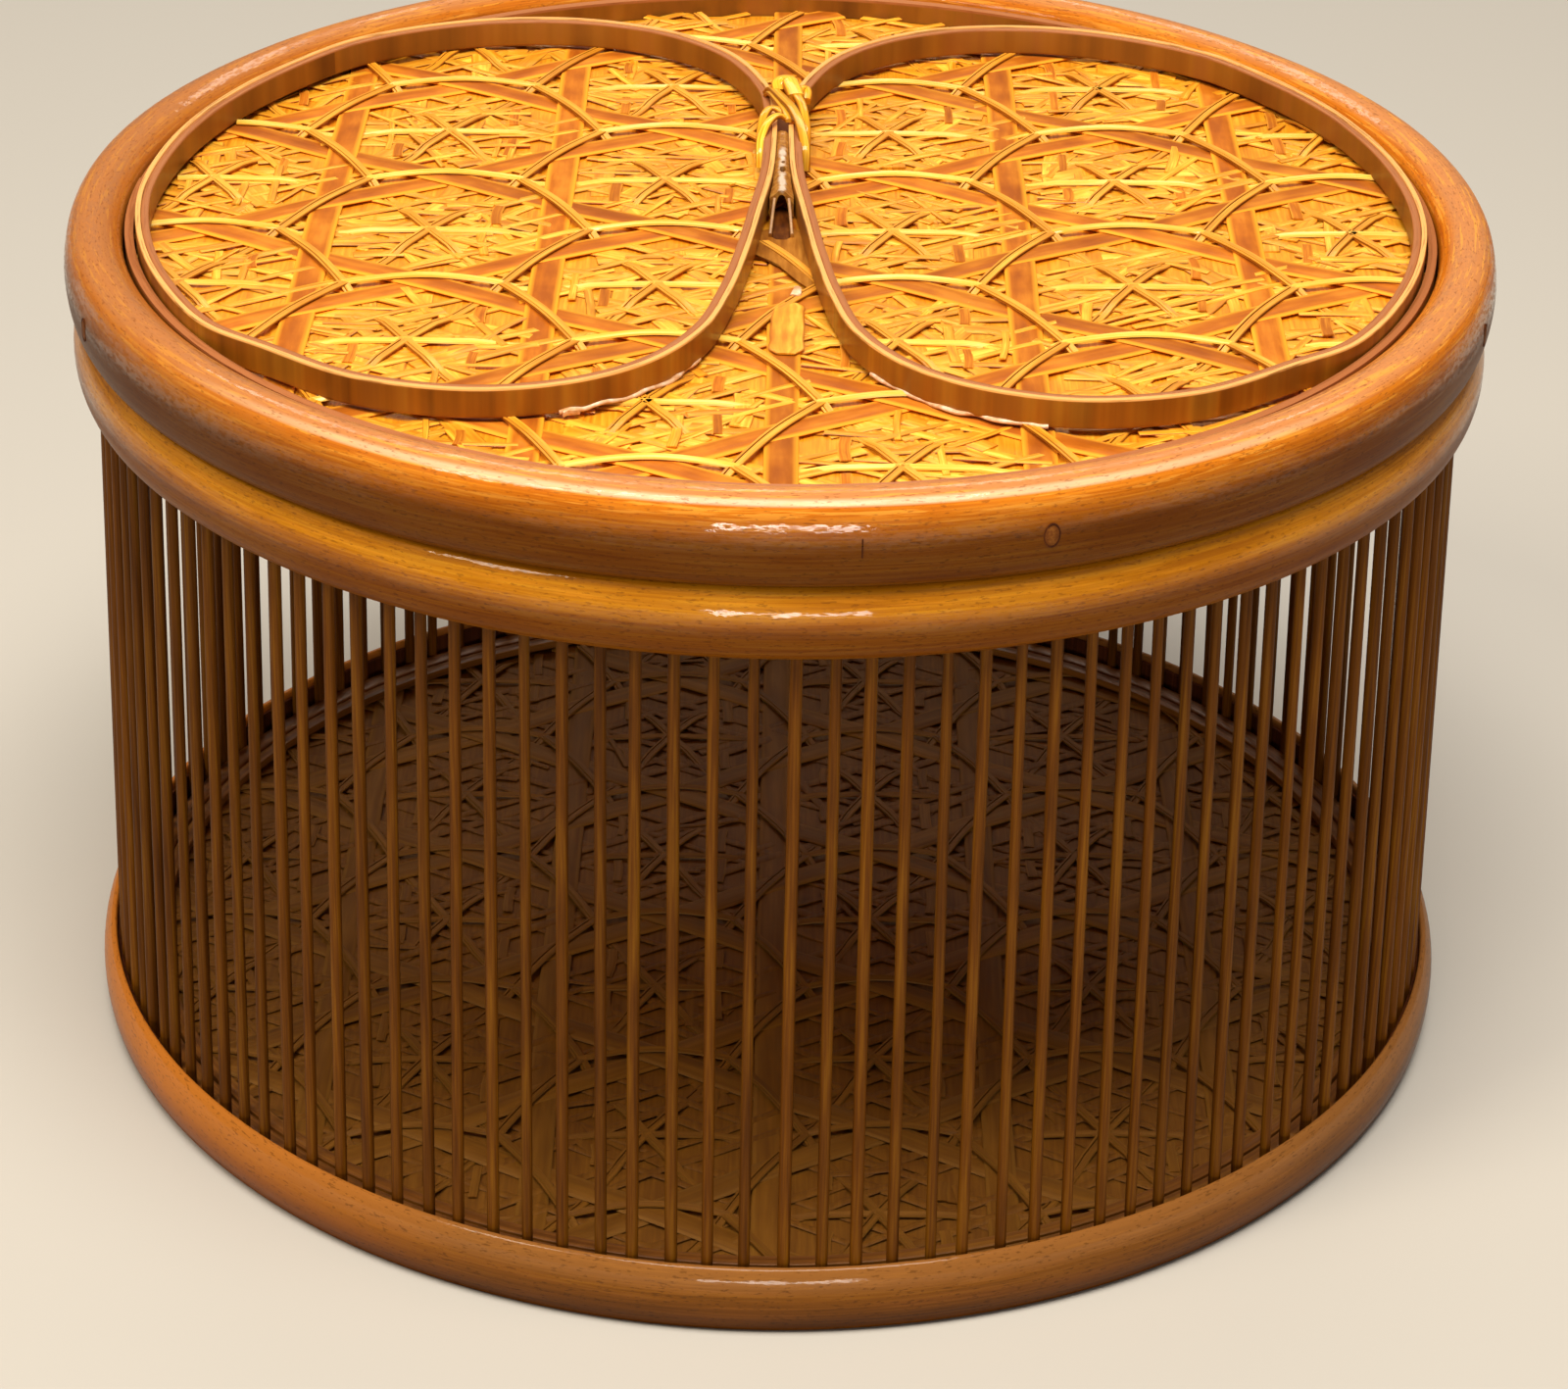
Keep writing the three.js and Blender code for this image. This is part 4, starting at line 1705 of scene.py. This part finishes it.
@dataclass
class RibbonLoop:
    """One closed ribbon of two layers that stands on edge on the lid."""

    side: int
    hug_radius: float
    bottom: float
    height: float
    thickness: float
    outer_share: float = 0.42
    pinch: float = 2.15

    def places(self) -> list[Vector]:
        """Lists the points of the middle line, along the hoop, to the front, the middle and the back."""
        by_hoop = [(angle, 0.0) for angle in (39, 27, 15, 3, -8, -20, -32)]
        front_bow = [(-40, 3.2), (-50, 6), (-59.5, 12.3), (-67.4, 21.6), (-73.6, 32.9), (-77.4, 46.4), (-78, 61.2)]
        inward_run = [(4.0, -24), (2.05, -6), (0.5, 9), (0.0, 21.5), (0.0, 37), (1.45, 50)]
        back_bow = [(81.7, 36.7), (75.6, 24.4), (68.6, 15.3), (61.4, 8.7), (54, 4.2), (46, 1)]
        points = []
        for angle, inset in by_hoop + front_bow:
            radius = self.hug_radius - inset * MM
            turn = math.radians(angle)
            points.append(Vector((radius * math.cos(turn), radius * math.sin(turn), 0)))
        points += [Vector((self.pinch + spread, y, 0)) * MM for spread, y in inward_run]
        for angle, inset in back_bow:
            radius = self.hug_radius - inset * MM
            turn = math.radians(angle)
            points.append(Vector((radius * math.cos(turn), radius * math.sin(turn), 0)))
        return [Vector((point.x * self.side, point.y, 0)) for point in points]

    def build(self) -> None:
        """Builds the two layers, the golden brown one outside and the rosy one inside."""
        side_name = "right" if self.side > 0 else "left"
        points = self.places()
        outer = self.thickness * self.outer_share
        inner = self.thickness - outer
        layers = [
            ("outside", RIBBON_OUTSIDE, (self.thickness - outer) / 2, outer, self.height + 0.15 * MM),
            ("inside", RIBBON_INSIDE, -(self.thickness - inner) / 2, inner, self.height),
        ]
        for layer, finish, offset, width, height in layers:
            piece = Piece(f"ribbon_{side_name}_{layer}")

            def path(share: float, offset: float = offset, height: float = height) -> Vector:
                """Gives the middle of the layer."""
                spot = smooth_curve(points, share % 1.0)
                reach = 0.001
                along = smooth_curve(points, (share + reach) % 1.0) - smooth_curve(points, (share - reach) % 1.0)
                outwards = Vector((along.y, -along.x, 0)).normalized() * -self.side
                spot = spot + outwards * offset
                wave = unevenness(spot, 0.12 * MM, 30 * MM, 3.0 * self.side)
                return Vector((spot.x, spot.y, self.bottom + height / 2 + wave))

            section = Section(width + 0.02 * MM, height, 20, 0.2, 0.2)
            piece.sweep(path, 260, section, 0.5, closed=True)
            piece.close_ends()
            replaced = [f"ribbon_loop_{side_name}"] if layer == "outside" else []
            piece.finish(finish, "lid", replaced)
        self.build_glue(side_name, points)

    def build_glue(self, side_name: str, points: list[Vector]) -> None:
        """Builds the lumpy line of glue along the foot of the ribbon's front bow.

        Args:
            side_name: Left or right.
            points: The points of the ribbon's middle line.
        """
        piece = Piece(f"ribbon_{side_name}_glue")
        first, last = (9.4, 11.6) if self.side > 0 else (9.9, 11.9)
        count = len(points)

        def path(share: float) -> Vector:
            """Gives the middle of the glue, wandering in and out of the corner."""
            place = (first + (last - first) * share) / count
            spot = smooth_curve(points, place)
            along = smooth_curve(points, place + 0.001) - smooth_curve(points, place - 0.001)
            outwards = Vector((along.y, -along.x, 0)).normalized() * -self.side
            wander = unevenness(spot, 0.8 * MM, 4 * MM, 9.0)
            spot = spot + outwards * (self.thickness / 2 - 0.1 * MM + wander)
            return Vector((spot.x, spot.y, self.bottom + 0.1 * MM + unevenness(spot, 0.35 * MM, 3 * MM, 4.0)))

        piece.sweep(path, 90, Section(0.9 * MM, 0.7 * MM, 10, 0.9, 0.9))
        piece.close_ends()
        piece.finish(DRIED_GLUE, "lid")


@dataclass
class Lashing:
    """The flat cane that ties the ribbons together, with its folded end and the filler before it."""

    ribbon_bottom: float
    ribbon_top: float

    def strand(
        self,
        name: str,
        route: list[tuple[float, float, float]],
        width: float,
        thickness: float,
        tone: float,
        replaces: Iterable[str] = (),
    ) -> None:
        """Builds one flat cane strand.

        Args:
            name: The piece's name.
            route: Points in millimetres: right, back, and above the ribbons' top.
            width: Width of the cane in millimetres.
            thickness: Thickness of the cane in millimetres.
            tone: How light it is.
            replaces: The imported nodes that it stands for.
        """
        points = [Vector((x * MM, y * MM, self.ribbon_top + z * MM)) for x, y, z in route]
        piece = Piece(name)
        section = Section(width * MM, thickness * MM, 12, 0.6, 0.6)
        piece.sweep(lambda share: smooth_curve(points, share, closed=False), 40, section, tone)
        piece.close_ends()
        piece.finish(LASHING_CANE, "lid", replaces)

    def build(self) -> None:
        """Builds the strands, the folded end and the filler."""
        self.strand(
            "lashing_under",
            [(-3.75, 22.6, -4.3), (-3.75, 23.2, -2.2), (-3.7, 25.2, -0.7), (-3.2, 27.1, 0.5), (-2.5, 29.0, 1.2),
             (-1.5, 31.0, 1.5), (-0.5, 31.7, 1.5), (0.6, 31.8, 0.9), (1.8, 32.0, 0.2)],
            1.5, 0.75, 0.85, ["lashing_strand_under"],
        )
        self.strand(
            "lashing_under_second",
            [(-3.75, 28.6, -4.3), (-3.75, 29.2, -1.2), (-3.4, 32.5, 0.6), (-2.5, 35.0, 1.3), (-1.4, 35.4, 1.4),
             (-0.2, 34.4, 1.1), (1.2, 34.0, 0.5)],
            1.5, 0.7, 0.6,
        )
        self.strand(
            "lashing_inner",
            [(-2.9, 44.8, 0.3), (-2.4, 43.7, 1.1), (-1.6, 41.1, 1.4), (-0.6, 37.3, 1.5), (0.3, 34.2, 1.3),
             (0.9, 31.0, 0.9)],
            1.3, 0.7, 0.3,
        )
        self.strand(
            "lashing_over",
            [(-2.9, 46.6, 0.2), (-2.1, 45.4, 1.3), (-1.1, 41.7, 1.9), (0.1, 37.6, 2.2), (1.1, 34.9, 2.2),
             (1.9, 32.4, 1.9), (2.7, 29.2, 1.4), (3.4, 25.2, 0.3), (3.8, 22.4, -1.2), (3.8, 21.6, -4.3)],
            1.7, 0.8, 0.25, ["lashing_strand_over"],
        )
        self.strand(
            "lashing_tail",
            [(1.7, 42.2, 2.0), (2.5, 39.4, 1.8), (3.2, 37.0, 1.2), (3.7, 33.8, 0.1), (3.95, 31.6, -1.6),
             (3.95, 31.0, -4.3)],
            1.6, 0.9, 0.8,
        )
        self.strand(
            "lashing_fold",
            [(-0.6, 43.6, 1.2), (-0.7, 44.8, 2.0), (0.0, 45.6, 2.4), (0.9, 45.2, 2.4), (1.3, 43.6, 2.2),
             (1.7, 42.0, 1.9), (2.1, 40.2, 1.5)],
            3.0, 2.0, 1.0, ["lashing_knot"],
        )
        self.strand(
            "lashing_fold_end",
            [(2.6, 42.6, 0.9), (3.1, 43.9, 1.6), (3.8, 44.1, 1.5), (4.1, 43.0, 1.1), (3.9, 41.2, 0.6)],
            1.6, 1.4, 0.9,
        )
        self.build_filler()

    def build_filler(self) -> None:
        """Builds the filler between the ribbons: a scraped ridge over an arch, with its small hole."""
        front, back, arch_depth = 1.2 * MM, 29.0 * MM, 6.5 * MM
        half_widths = ((0.0, 1.95), (0.28, 1.45), (0.5, 1.15), (0.72, 0.98), (1.0, 0.95))
        whiteness = ((0.0, 0.75), (0.05, 1.0), (0.68, 1.0), (0.76, 0.0), (1.0, 0.0))
        piece = Piece("filler_wedge")
        bm = piece.mesh
        rise_layer = bm.verts.layers.float["Rise"]
        holes = ((Vector((0.1, 11.6)) * MM, 0.5 * MM, 1.15 * MM), (Vector((0.15, 14.8)) * MM, 0.28 * MM, 0.5 * MM))

        def hole_share(spot: Vector) -> float:
            """Gives how far a place is from the nearest hole's middle, 1 at the hole's edge."""
            return min(math.hypot((spot.x - at.x) / wide, (spot.y - at.y) / long) for at, wide, long in holes)

        made = bmesh.ops.create_grid(bm, x_segments=22, y_segments=150, size=1.0)
        for vert in made["verts"]:
            share = (vert.co.y + 1) / 2
            across = vert.co.x * between(half_widths, share) * MM
            round_front = 0.8 * MM * (1 - abs(vert.co.x)) * (1 - share) ** 10
            vert.co = Vector((across, front + round_front + (back - front) * share, 0))
            slope = 0.75 * max(0.0, abs(across) - 0.45 * MM)
            bumps = unevenness(vert.co, 0.18 * MM, 1.7 * MM, 2.0)
            vert.co.z = self.ribbon_top - 0.2 * MM - slope + bumps
            ragged = unevenness(vert.co, 0.6, 0.9 * MM, 11.0)
            rim = min(1.0, max(0.0, (hole_share(vert.co) - 1.0) / 0.6))
            whole = (0.95 + ragged - abs(across) / (0.85 * MM)) * between(whiteness, share)
            vert[rise_layer] = whole * (0.25 + 0.75 * rim)
        near = [face for face in bm.faces if hole_share(face.calc_center_median()) < 1.0]
        bmesh.ops.delete(bm, geom=near, context="FACES")
        extruded = bmesh.ops.extrude_face_region(bm, geom=bm.faces[:], use_keep_orig=True)
        lowered = [item for item in extruded["geom"] if isinstance(item, bmesh.types.BMVert)]
        floor = self.ribbon_bottom + 0.1 * MM
        for vert in lowered:
            # The front stands on two feet: the arch is highest in the middle and ends further back
            arch = 3.9 * MM * min(1.0, abs(vert.co.x) / (1.4 * MM)) ** 3
            closed = max(0.0, (vert.co.y - front) / arch_depth) ** 2 * 3.9 * MM
            vert.co.z = max(floor, vert.co.z - 0.7 * MM - arch - closed)
            vert[rise_layer] = 0.0
        piece.finish(FILLER, "lid", ["loop_wedge"], crease=40)
        for side, side_name in ((-1, "left"), (1, "right")):
            edge = [(1.15, 1.6, -1.6), (1.35, -0.6, -2.6), (1.55, -3.6, -3.5), (1.75, -7.6, -4.1)]
            points = [Vector((side * x * MM, y * MM, self.ribbon_top + z * MM)) for x, y, z in edge]
            foot = Piece(f"filler_foot_{side_name}")
            section = Section(0.55 * MM, 0.9 * MM, 10, 0.8, 0.8)
            foot.sweep(lambda share, points=points: smooth_curve(points, share, closed=False), 24, section)
            foot_rise = foot.mesh.verts.layers.float["Rise"]
            for vert in foot.mesh.verts:
                vert[foot_rise] *= 0.3
            foot.close_ends()
            foot.finish(FILLER, "lid")


# Whole assemblies


@dataclass
class BasketBody:
    """The open basket: base, wall of rods, rim and floor."""

    rods: RodWall = field(default_factory=RodWall)
    rim_inner_width: float = 3.7 * MM

    def build(self) -> None:
        """Builds every piece that stays when the lid is lifted."""
        base, rim, inner_rim = Span.of("base_hoop_outer"), Span.of("rim_hoop_outer"), Span.of("rim_hoop_inner")
        rod_outside = self.rods.foot_radius + ROD_DIAMETER / 2
        BentHoop(
            "base_hoop", "basket", BASE_HOOP, rod_outside + GAP / 3, base.radius, base.bottom, base.top,
            points=36, shape=HALF_ROUND, replaces=("base_hoop_outer",),
        ).build()
        self.rods.build()
        lean = self.rods.foot_radius - self.rods.head_radius
        rim_inside = self.rods.head_radius + lean * (1 - rim.bottom / inner_rim.top) + ROD_DIAMETER / 2
        BentHoop(
            "rim_hoop", "basket", DARKER_HOOP, rim_inside, rim.radius, rim.bottom, rim.top,
            points=36, shape=HALF_ROUND, replaces=("rim_hoop_outer",),
        ).build()
        BentHoop(
            "inner_rim_hoop", "basket", INNER_HOOP, inner_rim.radius - self.rim_inner_width, inner_rim.radius,
            inner_rim.bottom, inner_rim.top, replaces=("rim_hoop_inner",),
        ).build()
        self.build_floor()

    def build_floor(self) -> None:
        """Builds the floor and the hoops that hold it."""
        support, backing = Span.of("floor_support_hoop"), Span.of("floor_backing")
        weave, edge = Span.of("floor_weave"), Span.of("floor_edge_hoop")
        BentHoop(
            "floor_support", "basket", INNER_HOOP, support.radius - 4 * MM, support.radius, support.bottom,
            support.top, points=12, replaces=("floor_support_hoop",),
        ).build()
        BentHoop(
            "floor_underlayer", "basket", FLOOR_GROUND, 0.0, backing.radius, backing.bottom, backing.top,
            outer=0.1, inner=0.1, points=8, steps=120, wobble=0.0, replaces=("floor_backing",),
        ).build()
        BentHoop(
            "floor_edge", "basket", INNER_HOOP, edge.radius - 2.4 * MM, edge.radius, edge.bottom, edge.top,
            points=12, replaces=("floor_edge_hoop",),
        ).build()
        SixEyePanel(
            "floor", "basket", weave.radius, weave.bottom, weave.top,
            PanelFinishes(FLOOR_GROUND, FLOOR_SLAT, FLOOR_SLAT, FLOOR_SLAT, FLOOR_GROUND, FLOOR_SLAT),
            "floor_weave", seed=8, chips=5,
        ).build()


@dataclass
class Lid:
    """The lift-off lid: hoops, woven panel, ribbons and lashing."""

    lamination_width: float = 1.5 * MM
    locating_width: float = 2.4 * MM
    hoop_width: float = 9.4 * MM
    pin_height: float = 133.6 * MM
    pin_angles: tuple[float, ...] = (-70.4, -158.0, -18.0)
    ribbon_thickness: float = 2.2 * MM

    def build(self) -> None:
        """Builds every piece that lifts off."""
        hoop, lamination = Span.of("lid_hoop_outer"), Span.of("lid_hoop_inner")
        locating, backing = Span.of("lid_locating_hoop"), Span.of("lid_backing")
        weave, ribbon = Span.of("lid_weave"), Span.of("ribbon_loop_right")
        BentHoop(
            "lid_hoop", "lid", BENT_HOOP, hoop.radius - self.hoop_width, hoop.radius, hoop.bottom, hoop.top,
            points=48, steps=260, shape=WORN_TOP_ROUND, replaces=("lid_hoop_outer",),
        ).build()
        self.build_lamination(lamination)
        BentHoop(
            "locating_hoop", "lid", INNER_HOOP, locating.radius - self.locating_width, locating.radius,
            locating.bottom, locating.top, points=12, replaces=("lid_locating_hoop",),
        ).build()
        BentHoop(
            "lid_underlayer", "lid", LID_GROUND, 0.0, backing.radius, backing.bottom, backing.top,
            outer=0.1, inner=0.1, points=8, steps=120, wobble=0.0, replaces=("lid_backing",),
        ).build()
        SixEyePanel(
            "lid", "lid", weave.radius, weave.bottom, weave.top,
            PanelFinishes(LID_GROUND, LID_SLAT, LID_RING_STRIP, LID_SIDE_STRIP, LID_SLIVER, BROWN_SLIVER),
            "lid_weave",
        ).build()
        hug = lamination.radius - self.lamination_width - GAP - self.ribbon_thickness / 2
        for side in (-1, 1):
            RibbonLoop(side, hug, ribbon.bottom, ribbon.height, self.ribbon_thickness).build()
        Lashing(ribbon.bottom, ribbon.top).build()
        self.build_middle("lid_golden_piece", LID_SLIVER, weave.top, (5.4, 5.0), 0.3,
                          [(1.0, -53.2, 0.0), (1.2, -47, 0.25), (1.3, -40, 0.3), (1.5, -34, 0.1)])
        self.build_middle("lid_glue_film", BROWN_GLUE, weave.top, (11.0, 8.6), 0.2,
                          [(0.9, -21.5, -0.1), (0.6, -18, 0.0), (0.3, -11, 0.1), (0.1, -4, 0.1)], slant=1.3)
        # Painted shadow of the filler's arch on the middle slat
        self.build_middle("lid_painted_shadow_pool", PAINTED_SHADOW_BROWN, weave.top, (3.6, 2.2), 0.3,
                          [(0.1, -8.4, 0.1), (0.1, -5, 0.2), (0.0, 0, 0.25), (0.0, 5, 0.25)])
        self.build_middle("lid_glue_bead", DRIED_GLUE, weave.top, (1.5, 1.5), 1.0,
                          [(-31.4, -76.3, 0.1), (-30.8, -76.0, 0.2), (-29.9, -75.6, 0.2), (-29.2, -75.2, 0.1)])
        self.build_middle("lid_glue_lump", DRIED_GLUE, weave.top, (1.7, 1.2), 0.8,
                          [(2.2, -31.4, 0.1), (2.5, -30.4, 0.3), (2.7, -29.2, 0.3), (2.6, -28.0, 0.1)])
        self.build_pins(hoop)
        self.build_joint(hoop)

    def build_middle(
        self,
        name: str,
        finish: Finish,
        top: float,
        widths: tuple[float, float],
        thickness: float,
        route: list[tuple[float, float, float]],
        slant: float = 0.0,
    ) -> None:
        """Builds a flat piece with wandering edges that lies on the panel.

        Args:
            name: The piece's name.
            finish: Its material.
            top: Height of the panel's top.
            widths: Its width at the start and at the end, in millimetres.
            thickness: Its thickness in millimetres.
            route: Points of its middle line in millimetres, with heights over the panel's top.
            slant: How steeply its front end runs across, as a share of its width.
        """
        piece = Piece(name)
        points = [Vector(point) for point in route]

        def path(share: float) -> Vector:
            """Gives the piece's middle line."""
            return smooth_curve(points, share, closed=False) * MM + Vector((0, 0, top + 0.15 * MM))

        steps = 24
        piece.sweep(path, steps, Section(widths[0] * MM, thickness * MM, 10, 0.5, 0.5), 0.4)
        start, end = path(0.0), path(1.0)
        for vert in piece.mesh.verts:
            share = min(1.0, max(0.0, (vert.co.y - start.y) / (end.y - start.y)))
            middle = path(share)
            width = 1 + (widths[1] / widths[0] - 1) * share
            width *= min(1.0, 0.55 + 6 * share, 0.55 + 6 * (1 - share))
            wander = unevenness(vert.co, 0.25 * MM, 2.5 * MM, 6.0)
            vert.co.y -= (vert.co.x - middle.x) * slant * (1 - share)
            vert.co.x = middle.x + (vert.co.x - middle.x) * width + wander
        piece.close_ends()
        piece.finish(finish, "lid")

    def build_lamination(self, lamination: Span) -> None:
        """Builds the thin strip inside the lid's hoop, whose two ends show at the left and right.

        Args:
            lamination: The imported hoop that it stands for.
        """
        middle = lamination.radius - self.lamination_width / 2
        first, last = math.radians(175.7 - 360), math.radians(12.5)
        drop = 0.3 * MM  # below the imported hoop's top, as in the photograph
        pieces = [("lid_lamination", first, last, 0.3 * MM), ("lid_lamination_back", last, first + 2 * math.pi, 0.0)]
        for name, start, end, proud in pieces:
            piece = Piece(name)
            height = lamination.height - drop + proud

            def path(share: float, start: float = start, end: float = end, height: float = height) -> Vector:
                """Gives the strip's middle line."""
                turn = start + 0.002 + (end - start - 0.004) * share
                return Vector((middle * math.cos(turn), middle * math.sin(turn), lamination.bottom + height / 2))

            section = Section(self.lamination_width, height, 8, 0.2, 0.2)
            piece.sweep(path, 180, section, 0.5)
            piece.close_ends()
            replaced = ["lid_hoop_inner"] if proud else []
            piece.finish(RIBBON_INSIDE, "lid", replaced)

    def build_pins(self, hoop: Span) -> None:
        """Builds the bamboo pins whose ends show in the lid's hoop.

        Args:
            hoop: The lid's packed hoop.
        """
        for name, angle in zip(("front", "left", "right"), self.pin_angles):
            piece = Piece(f"pin_{name}")
            made = bmesh.ops.create_cone(
                piece.mesh, cap_ends=True, segments=20, radius1=1.15 * MM, radius2=1.15 * MM, depth=7 * MM
            )
            bmesh.ops.bevel(
                piece.mesh,
                geom=[edge for edge in piece.mesh.edges if edge.calc_face_angle(0) > 1],
                offset=0.2 * MM,
                segments=2,
                profile=0.5,
                affect="EDGES",
                material=-1,
            )
            turn = math.radians(angle)
            reach = hoop.radius - 3.42 * MM
            place = (
                Matrix.Rotation(turn, 4, "Z")
                @ Matrix.Translation((reach, 0, self.pin_height))
                @ Matrix.Rotation(math.pi / 2, 4, "Y")
            )
            bmesh.ops.scale(piece.mesh, vec=(1.45, 1.0, 1.0), verts=piece.mesh.verts[:])
            bmesh.ops.transform(piece.mesh, matrix=place, verts=piece.mesh.verts[:])
            piece.finish(PIN_END, "lid", [f"lid_pin_{name}"])
            self.build_pin_gap(name, place)

    def build_pin_gap(self, name: str, place: Matrix) -> None:
        """Builds the dark ring of old glue round a pin's end.

        Args:
            name: The pin's name.
            place: Where the pin's middle is, with the pin along its Z axis.
        """
        piece = Piece(f"pin_gap_{name}")
        made = bmesh.ops.create_circle(piece.mesh, cap_ends=False, segments=24, radius=1.1 * MM)
        edges = list({edge for vert in made["verts"] for edge in vert.link_edges})
        widened = bmesh.ops.extrude_edge_only(piece.mesh, edges=edges)
        outer = [item for item in widened["geom"] if isinstance(item, bmesh.types.BMVert)]
        for vert in outer:
            vert.co.x, vert.co.y = vert.co.x * 1.18, vert.co.y * 1.18
        for vert in piece.mesh.verts:
            vert.co.x *= 1.45
            vert.co.z = 3.5 * MM - (vert.co.y / MM) ** 2 * 0.03 * MM
        deepened = bmesh.ops.extrude_face_region(piece.mesh, geom=piece.mesh.faces[:], use_keep_orig=True)
        for item in deepened["geom"]:
            if isinstance(item, bmesh.types.BMVert):
                item.co.z -= 0.8 * MM
        bmesh.ops.transform(piece.mesh, matrix=place, verts=piece.mesh.verts[:])
        piece.finish(DARK_SEAM_AND_SHADOW, "lid")

    def build_joint(self, hoop: Span) -> None:
        """Builds the thin upright line where the two ends of the lid's hoop meet.

        Args:
            hoop: The lid's packed hoop.
        """
        turn, low, high = math.radians(-84), 132.6 * MM, 135.4 * MM

        def path(share: float) -> Vector:
            """Gives the seam's middle line, following the hoop's bulge."""
            height = low + (high - low) * share
            bulge = ((height - 134.4 * MM) / (7 * MM)) ** 2 * 1.5 * MM
            reach = hoop.radius - 0.1 * MM - bulge
            return Vector((reach * math.cos(turn), reach * math.sin(turn), height))

        piece = Piece("lid_hoop_joint")
        piece.sweep(path, 8, Section(0.2 * MM, 0.5 * MM, 6))
        piece.close_ends()
        piece.finish(DARK_SEAM_AND_SHADOW, "lid")


# Studio


@dataclass
class PhotoCamera:
    """The camera at the photograph's place and angle."""

    place: tuple[float, float, float] = (0.0, -630.04, 390.59)
    yaw: float = 0.003
    pitch: float = 0.497
    roll: float = 0.019
    focal_pixels: float = 4248.8

    def build(self) -> None:
        """Makes the camera and gives it to the scene."""
        data = bpy.data.cameras.new("photo_camera")
        data.sensor_width = 36.0
        data.lens = self.focal_pixels / PHOTO_WIDTH * data.sensor_width
        data.clip_start, data.clip_end = 0.01, 20
        camera = bpy.data.objects.new("photo_camera", data)
        forward = Vector(
            (
                math.sin(self.yaw) * math.cos(self.pitch),
                math.cos(self.yaw) * math.cos(self.pitch),
                -math.sin(self.pitch),
            )
        )
        right = Vector((math.cos(self.yaw), -math.sin(self.yaw), 0))
        up = right.cross(forward)
        turn = Matrix.Rotation(self.roll, 3, -forward)
        right, up = turn @ right, turn @ up
        camera.matrix_world = Matrix.Translation(Vector(self.place) * MM) @ Matrix(
            (right, up, -forward)
        ).transposed().to_4x4()
        bpy.context.scene.collection.objects.link(camera)
        bpy.context.scene.camera = camera


@dataclass
class Studio:
    """Plain pale floor and soft light."""

    world_strength: float = 0.19

    def lamp(self, name: str, place: tuple[float, float, float], size: tuple[float, float], power: float,
             colour: str = "#FFFFFF") -> None:
        """Adds a soft rectangular lamp that points at the basket.

        Args:
            name: Its name.
            place: Where it hangs, in metres.
            size: Its width and height, in metres.
            power: Its power in watts.
            colour: Its colour.
        """
        data = bpy.data.lights.new(name, "AREA")
        data.shape = "RECTANGLE"
        data.size, data.size_y = size
        data.energy = power
        data.color = linear(colour)[:3]
        lamp = bpy.data.objects.new(name, data)
        lamp.location = place
        aim = Vector((0, 0, 0.1)) - Vector(place)
        lamp.rotation_euler = aim.to_track_quat("-Z", "Y").to_euler()
        bpy.context.scene.collection.objects.link(lamp)

    def build(self) -> None:
        """Makes the floor, the lamps and the world."""
        scene = bpy.context.scene
        scene.view_settings.view_transform = "Standard"
        self.lamp("window_front", (0.05, -0.43, 1.5), (0.9, 0.65), 26.5, "#FFF6EA")
        self.lamp("window_back", (0.0, 1.25, 1.3), (1.2, 0.4), 6.0, "#FFF2E0")
        self.lamp("strip_low", (0.06, -1.5, 0.12), (0.6, 0.13), 5.5, "#FFF8EC")
        self.lamp("strip_left", (-0.75, -0.6, 1.2), (0.35, 0.45), 8.0, "#FFF2DC")
        world = bpy.data.worlds.new("studio")
        world.use_nodes = True
        background = world.node_tree.nodes["Background"]
        background.inputs[0].default_value = linear("#F2F0EC")
        background.inputs[1].default_value = self.world_strength
        scene.world = world
        bm = bmesh.new()
        bmesh.ops.create_grid(bm, x_segments=1, y_segments=1, size=4.0)
        mesh = bpy.data.meshes.new("studio_floor")
        bm.to_mesh(mesh)
        bm.free()
        material = bpy.data.materials.new("pale_studio_floor")
        material.use_nodes = True
        shader = material.node_tree.nodes["Principled BSDF"]
        shader.inputs["Base Color"].default_value = linear(FLOOR_COLOUR)
        shader.inputs["Roughness"].default_value = 0.9
        mesh.materials.append(material)
        floor = bpy.data.objects.new("studio_floor", mesh)
        scene.collection.objects.link(floor)


def main() -> None:
    """Builds the studio and the basket."""
    logging.basicConfig(level=logging.INFO, format="%(name)s: %(message)s")
    PhotoCamera().build()
    Studio().build()
    BasketBody().build()
    Lid().build()


if __name__ == "__main__":
    main()
